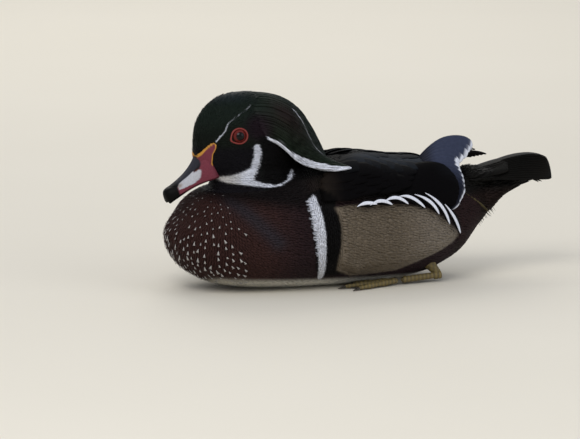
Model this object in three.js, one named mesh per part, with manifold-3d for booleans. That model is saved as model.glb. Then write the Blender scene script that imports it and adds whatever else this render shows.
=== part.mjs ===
// A drake wood duck at life size, resting on its belly with its feet tucked under.
// Millimetres, +Z up. The bird faces -X and its left side is toward -Y.
// The origin is the middle of the bottom of its bounding box, on the floor.
import * as THREE from 'three';
import { mergeVertices } from 'three/addons/utils/BufferGeometryUtils.js';
import Module from 'manifold-3d';

const wasm = await Module();
wasm.setup();

// Driving dimensions. X runs back from the front of the breast, Z up from the floor.
const GAP = 0.35;
const END_ROUNDING = 4;
const BODY_AROUND = 32;
const BODY_ALONG = 24;
const PAD_AROUND = 20;
const PAD_ALONG = 14;
const HEAD_AROUND = 24;
const HEAD_ALONG = 20;
const HEAD_YAW = THREE.MathUtils.degToRad(6);
const HEAD_PIVOT_X = 75;
const NECK_TOP_X = 68;
const NECK_TOP_Z = 91;
const NECK_TILT = THREE.MathUtils.degToRad(-9);
const EYE_RADIUS = 5.4;
const EYE_X = 51.5;
const EYE_ANGLE = 13;
const EYE_DEPTH = 3.1;
const LID_RADIUS = 5.7;
const LID_TUBE = 1.15;
const VANE_THICKNESS = 0.8;

// Rows of x, half width, bottom and top, from the breast to the root of the tail.
const TORSO_STATIONS = [
  [0, 0, 41, 41], [3, 18, 29, 53.5], [8, 29, 20, 63.5], [16, 38, 12.5, 71.5], [30, 47.5, 5, 78],
  [50, 54, 0.5, 81.5], [80, 58.5, -2, 86], [105, 59.5, -2.5, 90], [125, 59, -2.5, 91.8],
  [145, 58, -2, 94], [165, 55.5, -1.2, 94.2], [200, 48, 3.5, 90.5], [225, 38, 14, 83],
  [243, 27, 27, 76], [255, 15, 44, 71], [261, 0, 59, 59],
];

// Rows of x, half width, bottom and top, from the forehead to the nape.
const HEAD_STATIONS = [
  [18.5, 0, 114, 114], [20, 7, 98, 128], [24, 9.5, 91, 137], [30, 12, 87, 143],
  [40, 15.8, 83, 147.8], [52, 18.4, 79, 149.9], [66, 20, 76, 148.8], [80, 19.6, 76, 144.5],
  [92, 17, 79, 137], [102, 11, 90, 126], [107, 0, 108, 108],
];

// Rows of x, half width, bottom and top, for the core under the feathers of the crest.
const CREST_STATIONS = [
  [62, 0, 147, 147], [68, 10, 138, 149.6], [79, 16.5, 118, 147], [90, 18.5, 104, 141.5],
  [102, 16, 96, 132], [109, 10, 97, 122], [113, 0, 110, 110],
];

// Rows of height, middle x, half length and half width, from the breast up to the head.
const NECK_STATIONS = [
  [62, 66, 0, 0], [65, 66, 34, 26], [76, 67, 35, 26.5], [84, 67.5, 33.5, 24], [92, 68.5, 31.5, 19.5],
  [100, 70, 29, 18], [106, 71, 20, 14], [108, 71, 0, 0],
];

// Rows of x, half width, bottom and top, for the feathers under the tail.
const UNDERTAIL_STATIONS = [
  [232, 0, 40, 40], [237, 13, 25, 62], [245, 21, 29.5, 68], [254, 20, 42, 71], [266, 16, 54, 74.5],
  [280, 11, 62, 76], [292, 5, 67, 75.5], [297, 0, 71, 71],
];

// Rows of x, half width, bottom and top, for the rump that carries the tail.
const RUMP_STATIONS = [
  [229, 0, 78, 78], [236, 15, 71, 84], [250, 18, 69, 86.5], [264, 15, 72, 87], [276, 0, 81, 81],
];

// The bill: gape to nail along its edge, then rows of how far along, half width and height.
const GAPE_X = 36;
const GAPE_Z = 88;
const NAIL_X = -6.2;
const NAIL_Z = 70.4;
const UPPER_BILL = [
  [0, 12, 25], [0.14, 11.6, 21.8], [0.3, 10, 16.2], [0.45, 8.6, 12.6], [0.62, 8, 9.8], [0.78, 7.8, 7.6],
  [0.9, 6.6, 6.4], [0.97, 4.4, 5], [1, 2.4, 3.6],
];
const LOWER_BILL_DEPTH = 3.4;
const LOWER_BILL_WIDTH = 0.84;
const NAIL_DROP = 2.6;
const BILL_DIP = 0.8;
const NOSTRIL_ALONG = 0.47;
const NOSTRIL_UP = 7.4;
const NOSTRIL_OUT = 6.6;
const NOSTRIL_RADIUS = 1.4;

// Feet, folded forward under each side of the belly: the root of the toes, the tip of each toe and the heel.
const TOE_ROOT = new THREE.Vector3(172, -38, 3.2);
const TOES = [[127, -42.5], [134, -54], [138, -29.5]];
const TOE_RADIUS = 2.6;
const TOE_TIP_RADIUS = 1.5;
const TOE_TIP_Z = 1.5;
const CLAW_LENGTH = 5;
const CLAW_RADIUS = 1.2;
const CLAW_TIP = 0.4;
const WEB_HEIGHT = 1.6;
const HEEL = new THREE.Vector3(207, -34, 6);
const HEEL_RADIUS = 4.6;
const KNEE = new THREE.Vector3(196, -28, 24);
const SHANK_RADIUS = 2.8;
const THIGH_RADIUS = 7;

// Outlines seen from the side, as corners of x and z: the flank, the wing's pad and the room round the wing.
const FLANK_OUTLINE = [
  [112, 64.5], [140, 66], [174, 67.5], [196, 65.5], [212, 57], [223, 38], [206, 25], [170, 15], [130, 13],
  [109, 26], [106, 48],
];
const WING_OUTLINE = [
  [104, 72], [120, 69], [150, 69.6], [176, 70.6], [196, 68.6], [206, 70], [212, 84], [206, 112], [160, 118],
  [156, 113], [144, 90], [124, 79],
];
const WING_ZONE = [
  [96, 69], [120, 68.4], [150, 68.9], [176, 70], [197, 67.6], [213, 60], [221, 70], [224, 84], [222, 125],
  [150, 125], [118, 118], [100, 92],
];
const FLANK_LIFT = 4.6;
const FLANK_NEAR = -8;
const WING_LIFT = 5.2;
const WING_FRONT_X = 100;
const WING_FRONT_RUN = 26;
const WING_FRONT_DEGREES = 32;
const WING_FRONT_SLANT = 50;
const HALF_SPAN = 90;

// Feathers of the wing: rows along the body and how many in each.
const SCAPULAR_ROWS = 3;
const SCAPULARS_IN_ROW = 4;
const SCAPULAR_LOW = 45;
const SCAPULAR_SLANT = 0.95;
const TERTIALS = 4;
const SECONDARIES = 6;
const PRIMARIES = 2;
const PLUMES = 6;
const TAIL_FEATHERS = 12;
const TAIL_TIP_X = 308.5;
const TAIL_COVERTS = 5;
const UNDERTAIL_FEATHERS = 3;
const CREST_LOCKS = 6;
const CROWN_LOCKS = 2;

const point = (x, y, z) => new THREE.Vector3(x, y, z);
const lerp = THREE.MathUtils.lerp;
const radians = THREE.MathUtils.degToRad;
const group = new THREE.Group();

// A smooth curve through the values of one column of rows.
function curveThrough(rows, column) {
  const slopes = rows.map((row, i) => {
    const before = rows[Math.max(i - 1, 0)];
    const after = rows[Math.min(i + 1, rows.length - 1)];
    return (after[column] - before[column]) / (after[0] - before[0]);
  });
  return (x) => {
    let i = 0;
    while (i < rows.length - 2 && x > rows[i + 1][0]) i += 1;
    const span = rows[i + 1][0] - rows[i][0];
    const t = THREE.MathUtils.clamp((x - rows[i][0]) / span, 0, 1);
    const rise = t * t * (3 - 2 * t);
    const start = t * (1 - t) * (1 - t) * span * slopes[i];
    const stop = t * t * (1 - t) * span * slopes[i + 1];
    return rows[i][column] * (1 - rise) + rows[i + 1][column] * rise + start - stop;
  };
}

// A seeded draw between -1 and 1, for the small differences between feathers.
function draw(seed) {
  const wave = Math.sin(seed * 127.1 + 11.7) * 43758.5453;
  return 2 * (wave - Math.floor(wave)) - 1;
}

// Turns a closed geometry into a solid that can be joined and cut.
function toSolid(geometry) {
  for (const name of Object.keys(geometry.attributes)) {
    if (name !== 'position') geometry.deleteAttribute(name);
  }
  const merged = mergeVertices(geometry, 1e-4);
  const corners = merged.index.array;
  const kept = [];
  for (let i = 0; i < corners.length; i += 3) {
    const [a, b, c] = [corners[i], corners[i + 1], corners[i + 2]];
    if (a !== b && b !== c && c !== a) kept.push(a, b, c);
  }
  return new wasm.Manifold(new wasm.Mesh({
    numProp: 3,
    vertProperties: new Float32Array(merged.attributes.position.array),
    triVerts: new Uint32Array(kept),
  }));
}

const join = (solids) => wasm.Manifold.union(solids);
const flip = (solid) => solid.mirror([0, 1, 0]);

// Keeps the largest closed surface of a joined solid.
function largest(solid) {
  const pieces = solid.decompose();
  pieces.sort((a, b) => b.volume() - a.volume());
  return pieces[0];
}

// Adds one named mesh of a solid to the bird.
function addPart(name, solid, colour, roughness) {
  const mesh = solid.getMesh();
  const geometry = new THREE.BufferGeometry();
  geometry.setAttribute('position', new THREE.BufferAttribute(new Float32Array(mesh.vertProperties), 3));
  geometry.setIndex(new THREE.BufferAttribute(new Uint32Array(mesh.triVerts), 1));
  const material = new THREE.MeshStandardMaterial({ color: colour, roughness, metalness: 0 });
  const part = new THREE.Mesh(geometry, material);
  part.name = name;
  group.add(part);
}

// A ball whose vertices are placed by how far along its axis and at what angle around they lie.
function placedBall(around, along, place) {
  const geometry = new THREE.SphereGeometry(1, around, along);
  const position = geometry.attributes.position;
  const vertex = point(0, 0, 0);
  for (let i = 0; i < position.count; i += 1) {
    vertex.fromBufferAttribute(position, i);
    const share = Math.acos(THREE.MathUtils.clamp(vertex.y, -1, 1)) / Math.PI;
    const placed = place(share, Math.atan2(vertex.z, vertex.x));
    position.setXYZ(i, placed.x, placed.y, placed.z);
  }
  return geometry;
}

// A body lofted along X from stations, lifted outward by a clearance or by a function.
function makeLoft(rows, fullness, widest, narrowing = 0) {
  const width = curveThrough(rows, 1);
  const bottom = curveThrough(rows, 2);
  const top = curveThrough(rows, 3);
  const first = rows[0][0];
  const length = rows[rows.length - 1][0] - first;
  const surface = (x, angle, lift = 0) => {
    const low = bottom(x);
    const high = top(x);
    const middle = low + (high - low) * widest;
    const sine = Math.sin(angle);
    const cosine = Math.cos(angle);
    const across = Math.sign(cosine) * Math.abs(cosine) ** fullness;
    const rise = Math.sign(sine) * Math.abs(sine) ** fullness;
    const inside = Math.max(0, Math.min(x - first, first + length - x));
    const raised = lift * Math.min(1, Math.sqrt(inside / END_ROUNDING));
    const reach = sine > 0 ? high - middle : middle - low;
    const half = (width(x) + raised) * (1 - narrowing * rise);
    return point(x, across * half, middle + rise * (reach + raised));
  };
  const solid = (clearance = 0, lift = () => 0, around = BODY_AROUND, steps = BODY_ALONG) => {
    const place = (share, angle) => {
      const run = (1 - Math.cos(share * Math.PI)) / 2;
      const x = first + run * length;
      const placed = surface(x, angle, clearance + lift(x, angle));
      placed.x = first - clearance + run * (length + 2 * clearance);
      return placed;
    };
    return toSolid(placedBall(around, steps, place));
  };
  return { surface, solid };
}

const torso = makeLoft(TORSO_STATIONS, 0.92, 0.42);
const skull = makeLoft(HEAD_STATIONS, 0.94, 0.4, 0.12);
const crestCore = makeLoft(CREST_STATIONS, 0.94, 0.4, 0.1);
const undertail = makeLoft(UNDERTAIL_STATIONS, 0.95, 0.55);
const rump = makeLoft(RUMP_STATIONS, 0.95, 0.4);

// A cutting block, tipped about its own middle.
function block(x, y, z, length, width, height, tilt = 0) {
  const geometry = new THREE.BoxGeometry(length, width, height);
  geometry.rotateY(tilt);
  geometry.translate(x, y, z);
  return toSolid(geometry);
}

// A round rod that tapers from one point to another.
function rod(from, to, startRadius, endRadius, sides = 5) {
  const geometry = new THREE.CylinderGeometry(endRadius, startRadius, from.distanceTo(to), sides);
  const turn = new THREE.Quaternion().setFromUnitVectors(point(0, 1, 0), to.clone().sub(from).normalize());
  geometry.applyQuaternion(turn);
  const middle = from.clone().add(to).multiplyScalar(0.5);
  geometry.translate(middle.x, middle.y, middle.z);
  return toSolid(geometry);
}

// A ball with so many faces around it and from pole to pole.
function ball(centre, radius, around, rows) {
  const geometry = new THREE.SphereGeometry(radius, around, rows);
  geometry.translate(centre.x, centre.y, centre.z);
  return toSolid(geometry);
}

// A closed outline seen from the side, drawn out across the bird.
function sideOutline(corners, nearY, farY) {
  const loop = new THREE.CatmullRomCurve3(corners.map(([x, z]) => point(x, z, 0)), true);
  const shape = new THREE.Shape(loop.getPoints(corners.length * 2).slice(0, -1));
  const geometry = new THREE.ExtrudeGeometry(shape, { depth: farY - nearY, bevelEnabled: false, steps: 1 });
  geometry.rotateX(Math.PI / 2);
  geometry.translate(0, farY, 0);
  return toSolid(geometry);
}

// One feather: a thin blade along a bent middle line, its triangles alike on both faces.
function vane({ from, over, to, up, upTip = up, width, thick = VANE_THICKNESS, tilt = 0, blunt = 0.3,
  steps = 4 }) {
  const lattice = new THREE.PlaneGeometry(1, 1, 1, steps);
  const flat = lattice.attributes.position;
  const line = new THREE.QuadraticBezierCurve3(from, over, to);
  const upper = [];
  const lower = [];
  for (let i = 0; i < flat.count; i += 1) {
    const t = 1 - (0.5 - flat.getY(i)) ** 1.4;
    const tangent = line.getTangent(t);
    const side = tangent.clone().cross(up.clone().lerp(upTip, t)).normalize().applyAxisAngle(tangent, -tilt);
    const normal = side.clone().cross(tangent).normalize();
    const swell = lerp(0.55, 1, Math.min(1, t * 2.2));
    const taper = Math.sqrt(Math.max(0, 1 - (Math.max(0, t - 0.55) / 0.45) ** 2));
    const half = width / 2 * swell * lerp(blunt, 1, taper);
    const offset = flat.getX(i) * 2;
    const middle = line.getPoint(t).addScaledVector(side, offset * half);
    const depth = thick * lerp(1.25, 0.7, t) / 2;
    upper.push(middle.clone().addScaledVector(normal, depth));
    lower.push(middle.clone().addScaledVector(normal, -depth));
  }
  const triangles = Array.from(lattice.index.array);
  const count = flat.count;
  for (let i = triangles.length - 3; i >= 0; i -= 3) {
    triangles.push(triangles[i] + count, triangles[i + 2] + count, triangles[i + 1] + count);
  }
  const rim = [0];
  for (let i = 0; i <= steps; i += 1) rim.push(2 * i + 1);
  for (let i = steps; i > 0; i -= 1) rim.push(2 * i);
  rim.forEach((a, i) => {
    const b = rim[(i + 1) % rim.length];
    triangles.push(a, b, b + count, a, b + count, a + count);
  });
  const geometry = new THREE.BufferGeometry().setFromPoints(upper.concat(lower));
  geometry.setIndex(triangles);
  return toSolid(geometry);
}

// Turns a solid of the head about the upright line through the nape.
function turnHead(solid) {
  const turn = new THREE.Matrix4().makeTranslation(HEAD_PIVOT_X, 0, 0);
  turn.multiply(new THREE.Matrix4().makeRotationZ(HEAD_YAW));
  turn.multiply(new THREE.Matrix4().makeTranslation(-HEAD_PIVOT_X, 0, 0));
  return solid.transform(turn.toArray());
}

// A point over the left side of the body: degrees up from its widest line, and how far out.
function onSide(x, degrees, lift) {
  return torso.surface(x, Math.PI - radians(degrees), lift);
}

// The way out of the body at such a point.
function outFromSide(x, degrees) {
  const ahead = onSide(x + 2, degrees, 0).sub(onSide(x - 2, degrees, 0));
  const over = onSide(x, degrees + 2, 0).sub(onSide(x, degrees - 2, 0));
  return ahead.cross(over).normalize();
}

// One feather laid along the side of the body, from its root to its tip.
function sideVane(root, tip, options) {
  const [x0, a0, g0] = root;
  const [x1, a1, g1] = tip;
  const from = onSide(x0, a0, g0);
  const to = onSide(x1, a1, g1);
  const over = onSide((x0 + x1) / 2, (a0 + a1) / 2, (g0 + g1) / 2 + 0.8).multiplyScalar(2);
  over.sub(from.clone().add(to).multiplyScalar(0.5));
  return vane({ from, over, to, up: outFromSide(x0, a0), upTip: outFromSide(x1, a1), ...options });
}

// Everything stops at the floor, where Z is zero.
const aboveFloor = block(160, 0, 150, 600, 400, 300);
const torsoClear = torso.solid(GAP);

// Feet: three webbed toes each.
function makeFoot(clearance) {
  const pieces = [];
  for (const [x, y] of TOES) {
    const tip = point(x, y, TOE_TIP_Z);
    const ahead = tip.clone().sub(TOE_ROOT).normalize();
    const clawRoot = tip.clone().addScaledVector(ahead, -1);
    const clawTip = tip.clone().addScaledVector(ahead, CLAW_LENGTH).setZ(TOE_TIP_Z / 2);
    pieces.push(rod(TOE_ROOT, tip, TOE_RADIUS + clearance, TOE_TIP_RADIUS + clearance));
    pieces.push(rod(clawRoot, clawTip, CLAW_RADIUS + clearance, CLAW_TIP + clearance));
  }
  const [middle, outer, inner] = TOES;
  const web = new THREE.Shape();
  web.moveTo(TOE_ROOT.x, TOE_ROOT.y);
  web.lineTo(inner[0] + 2, inner[1] - 0.4);
  web.quadraticCurveTo(139, -36, middle[0] + 4, middle[1] + 0.4);
  web.quadraticCurveTo(137, -47, outer[0] + 2, outer[1] + 0.4);
  web.closePath();
  const depth = WEB_HEIGHT + clearance;
  const sheet = new THREE.ExtrudeGeometry(web, { depth, bevelEnabled: false, curveSegments: 3 });
  pieces.push(toSolid(sheet));
  return join(pieces).intersect(aboveFloor);
}

// Shanks: from the root of the toes back to the heel, then up into the belly.
function makeShank(clearance) {
  const start = TOE_ROOT.clone().add(point(3.2, 0, 1));
  const shank = rod(start, HEEL, SHANK_RADIUS + clearance, SHANK_RADIUS + 0.5 + clearance);
  const heel = ball(HEEL, HEEL_RADIUS + clearance, 8, 5);
  const thigh = rod(HEEL, KNEE, HEEL_RADIUS - 0.6 + clearance, THIGH_RADIUS + clearance);
  return join([shank, heel, thigh]).intersect(aboveFloor);
}

const foot = largest(makeFoot(0));
const shank = largest(makeShank(0).subtract(makeFoot(GAP)).subtract(torsoClear));
const feetHollow = join([makeFoot(GAP), flip(makeFoot(GAP))]);
addPart('torso', largest(torso.solid().intersect(aboveFloor).subtract(feetHollow)), 0x2e1712, 0.75);
addPart('foot_left', foot, 0xb08a3c, 0.6);
addPart('foot_right', flip(foot), 0xb08a3c, 0.6);
addPart('leg_left', shank, 0xb08a3c, 0.6);
addPart('leg_right', flip(shank), 0xb08a3c, 0.6);

// Neck: the short column between the breast and the head.
function neckLoft(clearance) {
  const middle = curveThrough(NECK_STATIONS, 1);
  const long = curveThrough(NECK_STATIONS, 2);
  const wide = curveThrough(NECK_STATIONS, 3);
  const low = NECK_STATIONS[0][0];
  const high = NECK_STATIONS[NECK_STATIONS.length - 1][0];
  return toSolid(placedBall(20, 10, (share, angle) => {
    const z = high + (low - high) * (1 - Math.cos(share * Math.PI)) / 2;
    const grown = clearance * Math.min(1, (z - low) / 3, (high - z) / 3);
    return point(middle(z) + Math.cos(angle) * (long(z) + grown), -Math.sin(angle) * (wide(z) + grown), z);
  }));
}

const aboveNeck = turnHead(block(NECK_TOP_X, 0, NECK_TOP_Z + 60, 240, 120, 120, NECK_TILT));
const belowHead = aboveNeck.translate(0, 0, GAP - 120);
const neck = largest(turnHead(neckLoft(0)).subtract(torsoClear).subtract(aboveNeck));
addPart('neck', neck, 0x120f0e, 0.7);

// Bill: an upper half with its nail and nostrils, and a lower half under it.
const gape = point(GAPE_X, 0, GAPE_Z);
const nailEnd = point(NAIL_X, 0, NAIL_Z);
const billAhead = nailEnd.clone().sub(gape);
const billUp = point(-billAhead.z, 0, billAhead.x).normalize().negate();

function billLoft(rows, heightScale, widthScale, clearance, dip) {
  const wide = curveThrough(rows, 1);
  const high = curveThrough(rows, 2);
  return toSolid(placedBall(12, 12, (share, angle) => {
    const along = (1 - Math.cos(share * Math.PI)) / 2;
    const pole = Math.sqrt(Math.min(1, Math.min(share, 1 - share) * 14));
    const rise = Math.sin(angle);
    const half = (wide(along) * widthScale + clearance) * pole;
    const lift = (rise > 0 ? high(along) * heightScale + clearance : dip + clearance) * pole;
    const centre = gape.clone().addScaledVector(billAhead, along);
    centre.addScaledVector(billUp, rise * lift - (share > 0.8 ? NAIL_DROP * ((share - 0.8) / 0.2) ** 2 : 0));
    centre.y -= Math.sign(Math.cos(angle)) * Math.abs(Math.cos(angle)) ** 0.75 * half;
    return centre;
  }));
}

const skullClear = skull.solid(GAP, () => 0, HEAD_AROUND, HEAD_ALONG);
const billWhole = billLoft(UPPER_BILL, 1, 1, 0, BILL_DIP);
const upperBill = billWhole.subtract(skullClear).subtract(neckLoft(GAP));
const nostril = (side) => {
  const at = gape.clone().addScaledVector(billAhead, NOSTRIL_ALONG).addScaledVector(billUp, NOSTRIL_UP);
  return ball(point(at.x, side * NOSTRIL_OUT, at.z), NOSTRIL_RADIUS, 8, 6);
};
const lowerBill = billLoft(UPPER_BILL.map(([t, w]) => [t, w, 0.5]), 1, LOWER_BILL_WIDTH, 0, LOWER_BILL_DEPTH);
const lowerPlaced = lowerBill.translate(1, 0, -1.6).subtract(skullClear).subtract(neckLoft(GAP))
  .subtract(billLoft(UPPER_BILL, 1, 1, GAP, BILL_DIP));
addPart('bill_upper', turnHead(largest(upperBill.subtract(nostril(-1)).subtract(nostril(1)))), 0xa04a50, 0.4);
addPart('bill_lower', turnHead(largest(lowerPlaced)), 0x5a2c2c, 0.45);

// Eyes, with a ring of lids round each, sunk in the side of the head.
const eyeSurface = skull.surface(EYE_X, Math.PI - radians(EYE_ANGLE), 0);
const eyeCentre = eyeSurface.clone().add(point(0, EYE_DEPTH, 0));
const eyeBall = (clearance) => ball(eyeCentre, EYE_RADIUS + clearance, 12, 6);

function lidRing(clearance) {
  const geometry = new THREE.TorusGeometry(LID_RADIUS, LID_TUBE + clearance, 5, 11);
  geometry.scale(1.06, 0.97, 1);
  geometry.rotateX(Math.PI / 2);
  geometry.rotateZ(radians(-7));
  geometry.translate(eyeSurface.x, eyeSurface.y + 0.3, eyeSurface.z);
  return toSolid(geometry);
}

const lids = lidRing(0).subtract(eyeBall(GAP));
const sockets = join([eyeBall(GAP), lidRing(GAP)]);
const head = skull.solid(0, () => 0, HEAD_AROUND, HEAD_ALONG).subtract(sockets).subtract(flip(sockets));
addPart('head', largest(turnHead(head).subtract(belowHead)), 0x10201a, 0.5);
addPart('eye_left', turnHead(eyeBall(0)), 0x5a1410, 0.1);
addPart('eye_right', turnHead(flip(eyeBall(0))), 0x5a1410, 0.1);
addPart('eyelids_left', turnHead(largest(lids)), 0xa83a32, 0.5);
addPart('eyelids_right', turnHead(flip(largest(lids))), 0xa83a32, 0.5);

// Crest: a small core, long locks that hang to the back and shorter ones over them.
function crestLocks(side) {
  const locks = [];
  for (let i = 0; i < CREST_LOCKS; i += 1) {
    const u = i / (CREST_LOCKS - 1);
    const root = skull.surface(lerp(80, 88, u), Math.PI - radians(lerp(80, 4, u)), 0.2);
    const tip = point(lerp(125, 138, u ** 0.8), -lerp(4, 31, u ** 0.9), lerp(104.5, 90.9, u ** 0.8));
    const bend = point(lerp(112, 104, u), -lerp(6, 27, u), lerp(141, 101, u));
    locks.push(vane({ from: root, over: bend, to: tip, up: point(0.5, -lerp(0.3, 1, u), lerp(0.9, 0.15, u)),
      upTip: point(0.5, -lerp(0.2, 0.7, u), 0.8), width: 9, thick: 0.8, blunt: 0.28, tilt: radians(17) }));
  }
  for (let i = 0; i < CROWN_LOCKS; i += 1) {
    const u = i / (CROWN_LOCKS - 1);
    const root = skull.surface(lerp(70, 78, u), Math.PI - radians(lerp(74, 20, u)), 1.6);
    const tip = point(lerp(113, 116, u), -lerp(5, 23, u), lerp(127.5, 104, u));
    const bend = point(lerp(100, 98, u), -lerp(7, 25, u), lerp(147, 122, u));
    locks.push(vane({ from: root, over: bend, to: tip, up: point(0.3, -lerp(0.3, 1, u), lerp(1, 0.3, u)),
      width: 10, thick: 0.8, blunt: 0.3, tilt: radians(15), steps: 3 }));
  }
  return side < 0 ? locks : locks.map(flip);
}

const middleLock = vane({ from: point(74, 0, 146), over: point(113, 0, 144), to: point(126, 0, 103.5),
  up: point(0.3, 0, 1), width: 10, thick: 1.2, blunt: 0.3 });
const crest = join([crestCore.solid(0, () => 0, 16, 10), middleLock, ...crestLocks(-1), ...crestLocks(1)]);
const crestTurned = turnHead(crest.subtract(skullClear)).subtract(torsoClear)
  .subtract(turnHead(neckLoft(GAP)));
addPart('crest', largest(crestTurned), 0x14241c, 0.5);

// Flanks: a low pad on each side below the wing, with a fan of long plumes along its top.
function flankLift(x, angle) {
  const sideways = Math.abs(Math.cos(angle));
  const front = FLANK_OUTLINE[0][0] - 14;
  return FLANK_LIFT * THREE.MathUtils.clamp((x - front) / 22, 0, 1) * Math.min(1, sideways + 0.2);
}

function flankPlumes() {
  const plumes = [];
  for (let i = 0; i < PLUMES; i += 1) {
    const u = i / (PLUMES - 1);
    const root = [lerp(134, 194, u), lerp(27, 15, u ** 2), 3];
    const tip = [lerp(162, 224, u ** 0.9), lerp(32.5, -3, u ** 2.4), lerp(8.8, 6, u ** 3)];
    plumes.push(sideVane(root, tip, { width: 9 + draw(i), thick: 1, blunt: 0.35, tilt: radians(-8) }));
  }
  return plumes;
}

const flankSide = sideOutline(FLANK_OUTLINE, -HALF_SPAN, FLANK_NEAR);
const flankPad = torso.solid(0, flankLift, PAD_AROUND, PAD_ALONG).intersect(flankSide);
const wingClear = torso.solid(0, () => WING_LIFT + GAP, PAD_AROUND, PAD_ALONG);
const wingZone = sideOutline(WING_ZONE, -HALF_SPAN, 0);
const plumes = join(flankPlumes()).subtract(wingClear.intersect(wingZone));
const flank = join([flankPad, plumes]).subtract(torsoClear).subtract(join([makeFoot(GAP), makeShank(GAP)]));
addPart('flank_left', largest(flank), 0x8a7c62, 0.7);
addPart('flank_right', flip(largest(flank)), 0x8a7c62, 0.7);

// Wings: a pad over each side of the back, scapulars, tertials, secondaries and primaries.
function wingLift(x, angle) {
  const climb = Math.max(0, Math.asin(Math.sin(angle)) - radians(WING_FRONT_DEGREES)) * WING_FRONT_SLANT;
  const front = WING_FRONT_X + climb;
  return WING_LIFT * THREE.MathUtils.smoothstep(x, front, front + WING_FRONT_RUN);
}

function scapulars() {
  const feathers = [];
  for (let row = 0; row < SCAPULAR_ROWS; row += 1) {
    for (let i = 0; i < SCAPULARS_IN_ROW; i += 1) {
      const u = (i + (row % 2) * 0.5) / SCAPULARS_IN_ROW;
      const x = lerp(112, 142, row / (SCAPULAR_ROWS - 1)) + 2 * draw(row * 9 + i);
      const height = lerp(SCAPULAR_LOW, 80, u);
      const start = x + SCAPULAR_SLANT * (height - SCAPULAR_LOW);
      feathers.push(sideVane([start, height, 3], [start + 40, height - 2, 8.4],
        { width: 15, thick: 0.8, blunt: 0.45, tilt: radians(6), steps: 3 }));
    }
  }
  return feathers;
}

function tertials() {
  const feathers = [];
  for (let i = 0; i < TERTIALS; i += 1) {
    const u = i / (TERTIALS - 1);
    const from = onSide(lerp(166, 178, u), lerp(38, 66, u), 3.4);
    const to = point(lerp(217, 223, Math.sin(u * Math.PI * 0.8)), -lerp(44.6, 27, u), lerp(61, 91, u));
    const over = onSide(204, lerp(36, 64, u), lerp(6.4, 9.5, u));
    feathers.push(vane({ from, over, to, up: outFromSide(180, lerp(38, 62, u)),
      upTip: point(0.35, -1, lerp(0.25, 0.7, u)), width: 15.5, thick: 0.9, blunt: 0.5, tilt: radians(9) }));
  }
  return feathers;
}

function secondaries() {
  const feathers = [];
  for (let i = 0; i < SECONDARIES; i += 1) {
    const u = i / (SECONDARIES - 1);
    const from = onSide(lerp(184, 188, u), lerp(80, 40, u), 2.4);
    const to = point(lerp(241, 219, u ** 1.5), -lerp(10, 41.5, u), lerp(103.5, 58, u));
    const over = point(lerp(222, 214, u), -lerp(13, 41, u), lerp(114, 68, u));
    feathers.push(vane({ from, over, to, up: point(-0.35, -lerp(0.75, 1, u), lerp(0.8, 0.2, u)),
      upTip: point(0.1, -1, lerp(0.35, 0.15, u)), width: 13, thick: 0.9, blunt: 0.5, tilt: radians(8) }));
  }
  return feathers;
}

function primaries() {
  const feathers = [];
  for (let i = 0; i < PRIMARIES; i += 1) {
    const u = i / (PRIMARIES - 1);
    const from = onSide(190, lerp(78, 60, u), 3);
    const to = point(lerp(262, 246, u), -lerp(20, 25, u), lerp(88.5, 84, u));
    const over = point(lerp(230, 220, u), -lerp(22, 30, u), lerp(98, 90, u));
    feathers.push(vane({ from, over, to, up: point(0, -0.5, 1), upTip: point(0, -0.6, 1), width: 9,
      thick: 0.9, blunt: 0.15 }));
  }
  return feathers;
}

const flankClear = torso.solid(GAP, flankLift, PAD_AROUND, PAD_ALONG).intersect(flankSide);
const rumpClear = rump.solid(GAP, () => 0, 12, 8);
const wingSide = sideOutline(WING_OUTLINE, -HALF_SPAN, 0);
const wingPad = torso.solid(0, wingLift, PAD_AROUND, PAD_ALONG).intersect(wingSide);
const halfSpace = block(160, -100 - GAP / 2, 150, 600, 200, 400);
const wing = join([wingPad, ...scapulars(), ...tertials(), ...secondaries(), ...primaries()])
  .intersect(halfSpace).subtract(torsoClear).subtract(rumpClear).subtract(flankClear);
addPart('wing_left', largest(wing), 0x1a1f30, 0.45);
addPart('wing_right', flip(largest(wing)), 0x1a1f30, 0.45);

// Tail: a rump core with long feathers in a roof, and coverts over their roots.
function tailFeathers() {
  const feathers = [];
  for (let i = 0; i < TAIL_FEATHERS; i += 1) {
    const u = (i + 0.5) / TAIL_FEATHERS * 2 - 1;
    const spread = Math.abs(u);
    const from = point(246, 10 * u, 78 - 3 * spread);
    const to = point(TAIL_TIP_X - 13 * spread ** 2, 26 * u, 80.5 - 11 * spread ** 1.6 + draw(i) * 0.4);
    const over = point(288 - 6 * spread, 24 * u, 97 - 9 * spread ** 1.5);
    feathers.push(vane({ from, over, to, up: point(0, 0.6 * u, 1), upTip: point(0.3, 0.75 * u, 1), width: 10,
      thick: 1, blunt: 0.5, tilt: u < 0 ? radians(9) : radians(-9) }));
  }
  return feathers;
}

function tailCoverts() {
  const feathers = [];
  for (let i = 0; i < TAIL_COVERTS; i += 1) {
    const u = (i + 0.5) / TAIL_COVERTS * 2 - 1;
    const spread = Math.abs(u);
    const from = point(238, 8 * u, 80.5 - 2 * spread);
    const to = point(274 - 5 * spread, 18 * u, 88.6 - 7 * spread ** 1.5);
    const over = point(260, 16 * u, 89 - 5 * spread ** 1.5);
    feathers.push(vane({ from, over, to, up: point(0, 0.5 * u, 1), width: 9, thick: 1, blunt: 0.4, steps: 3,
      tilt: u < 0 ? radians(9) : radians(-9) }));
  }
  return feathers;
}

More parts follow.
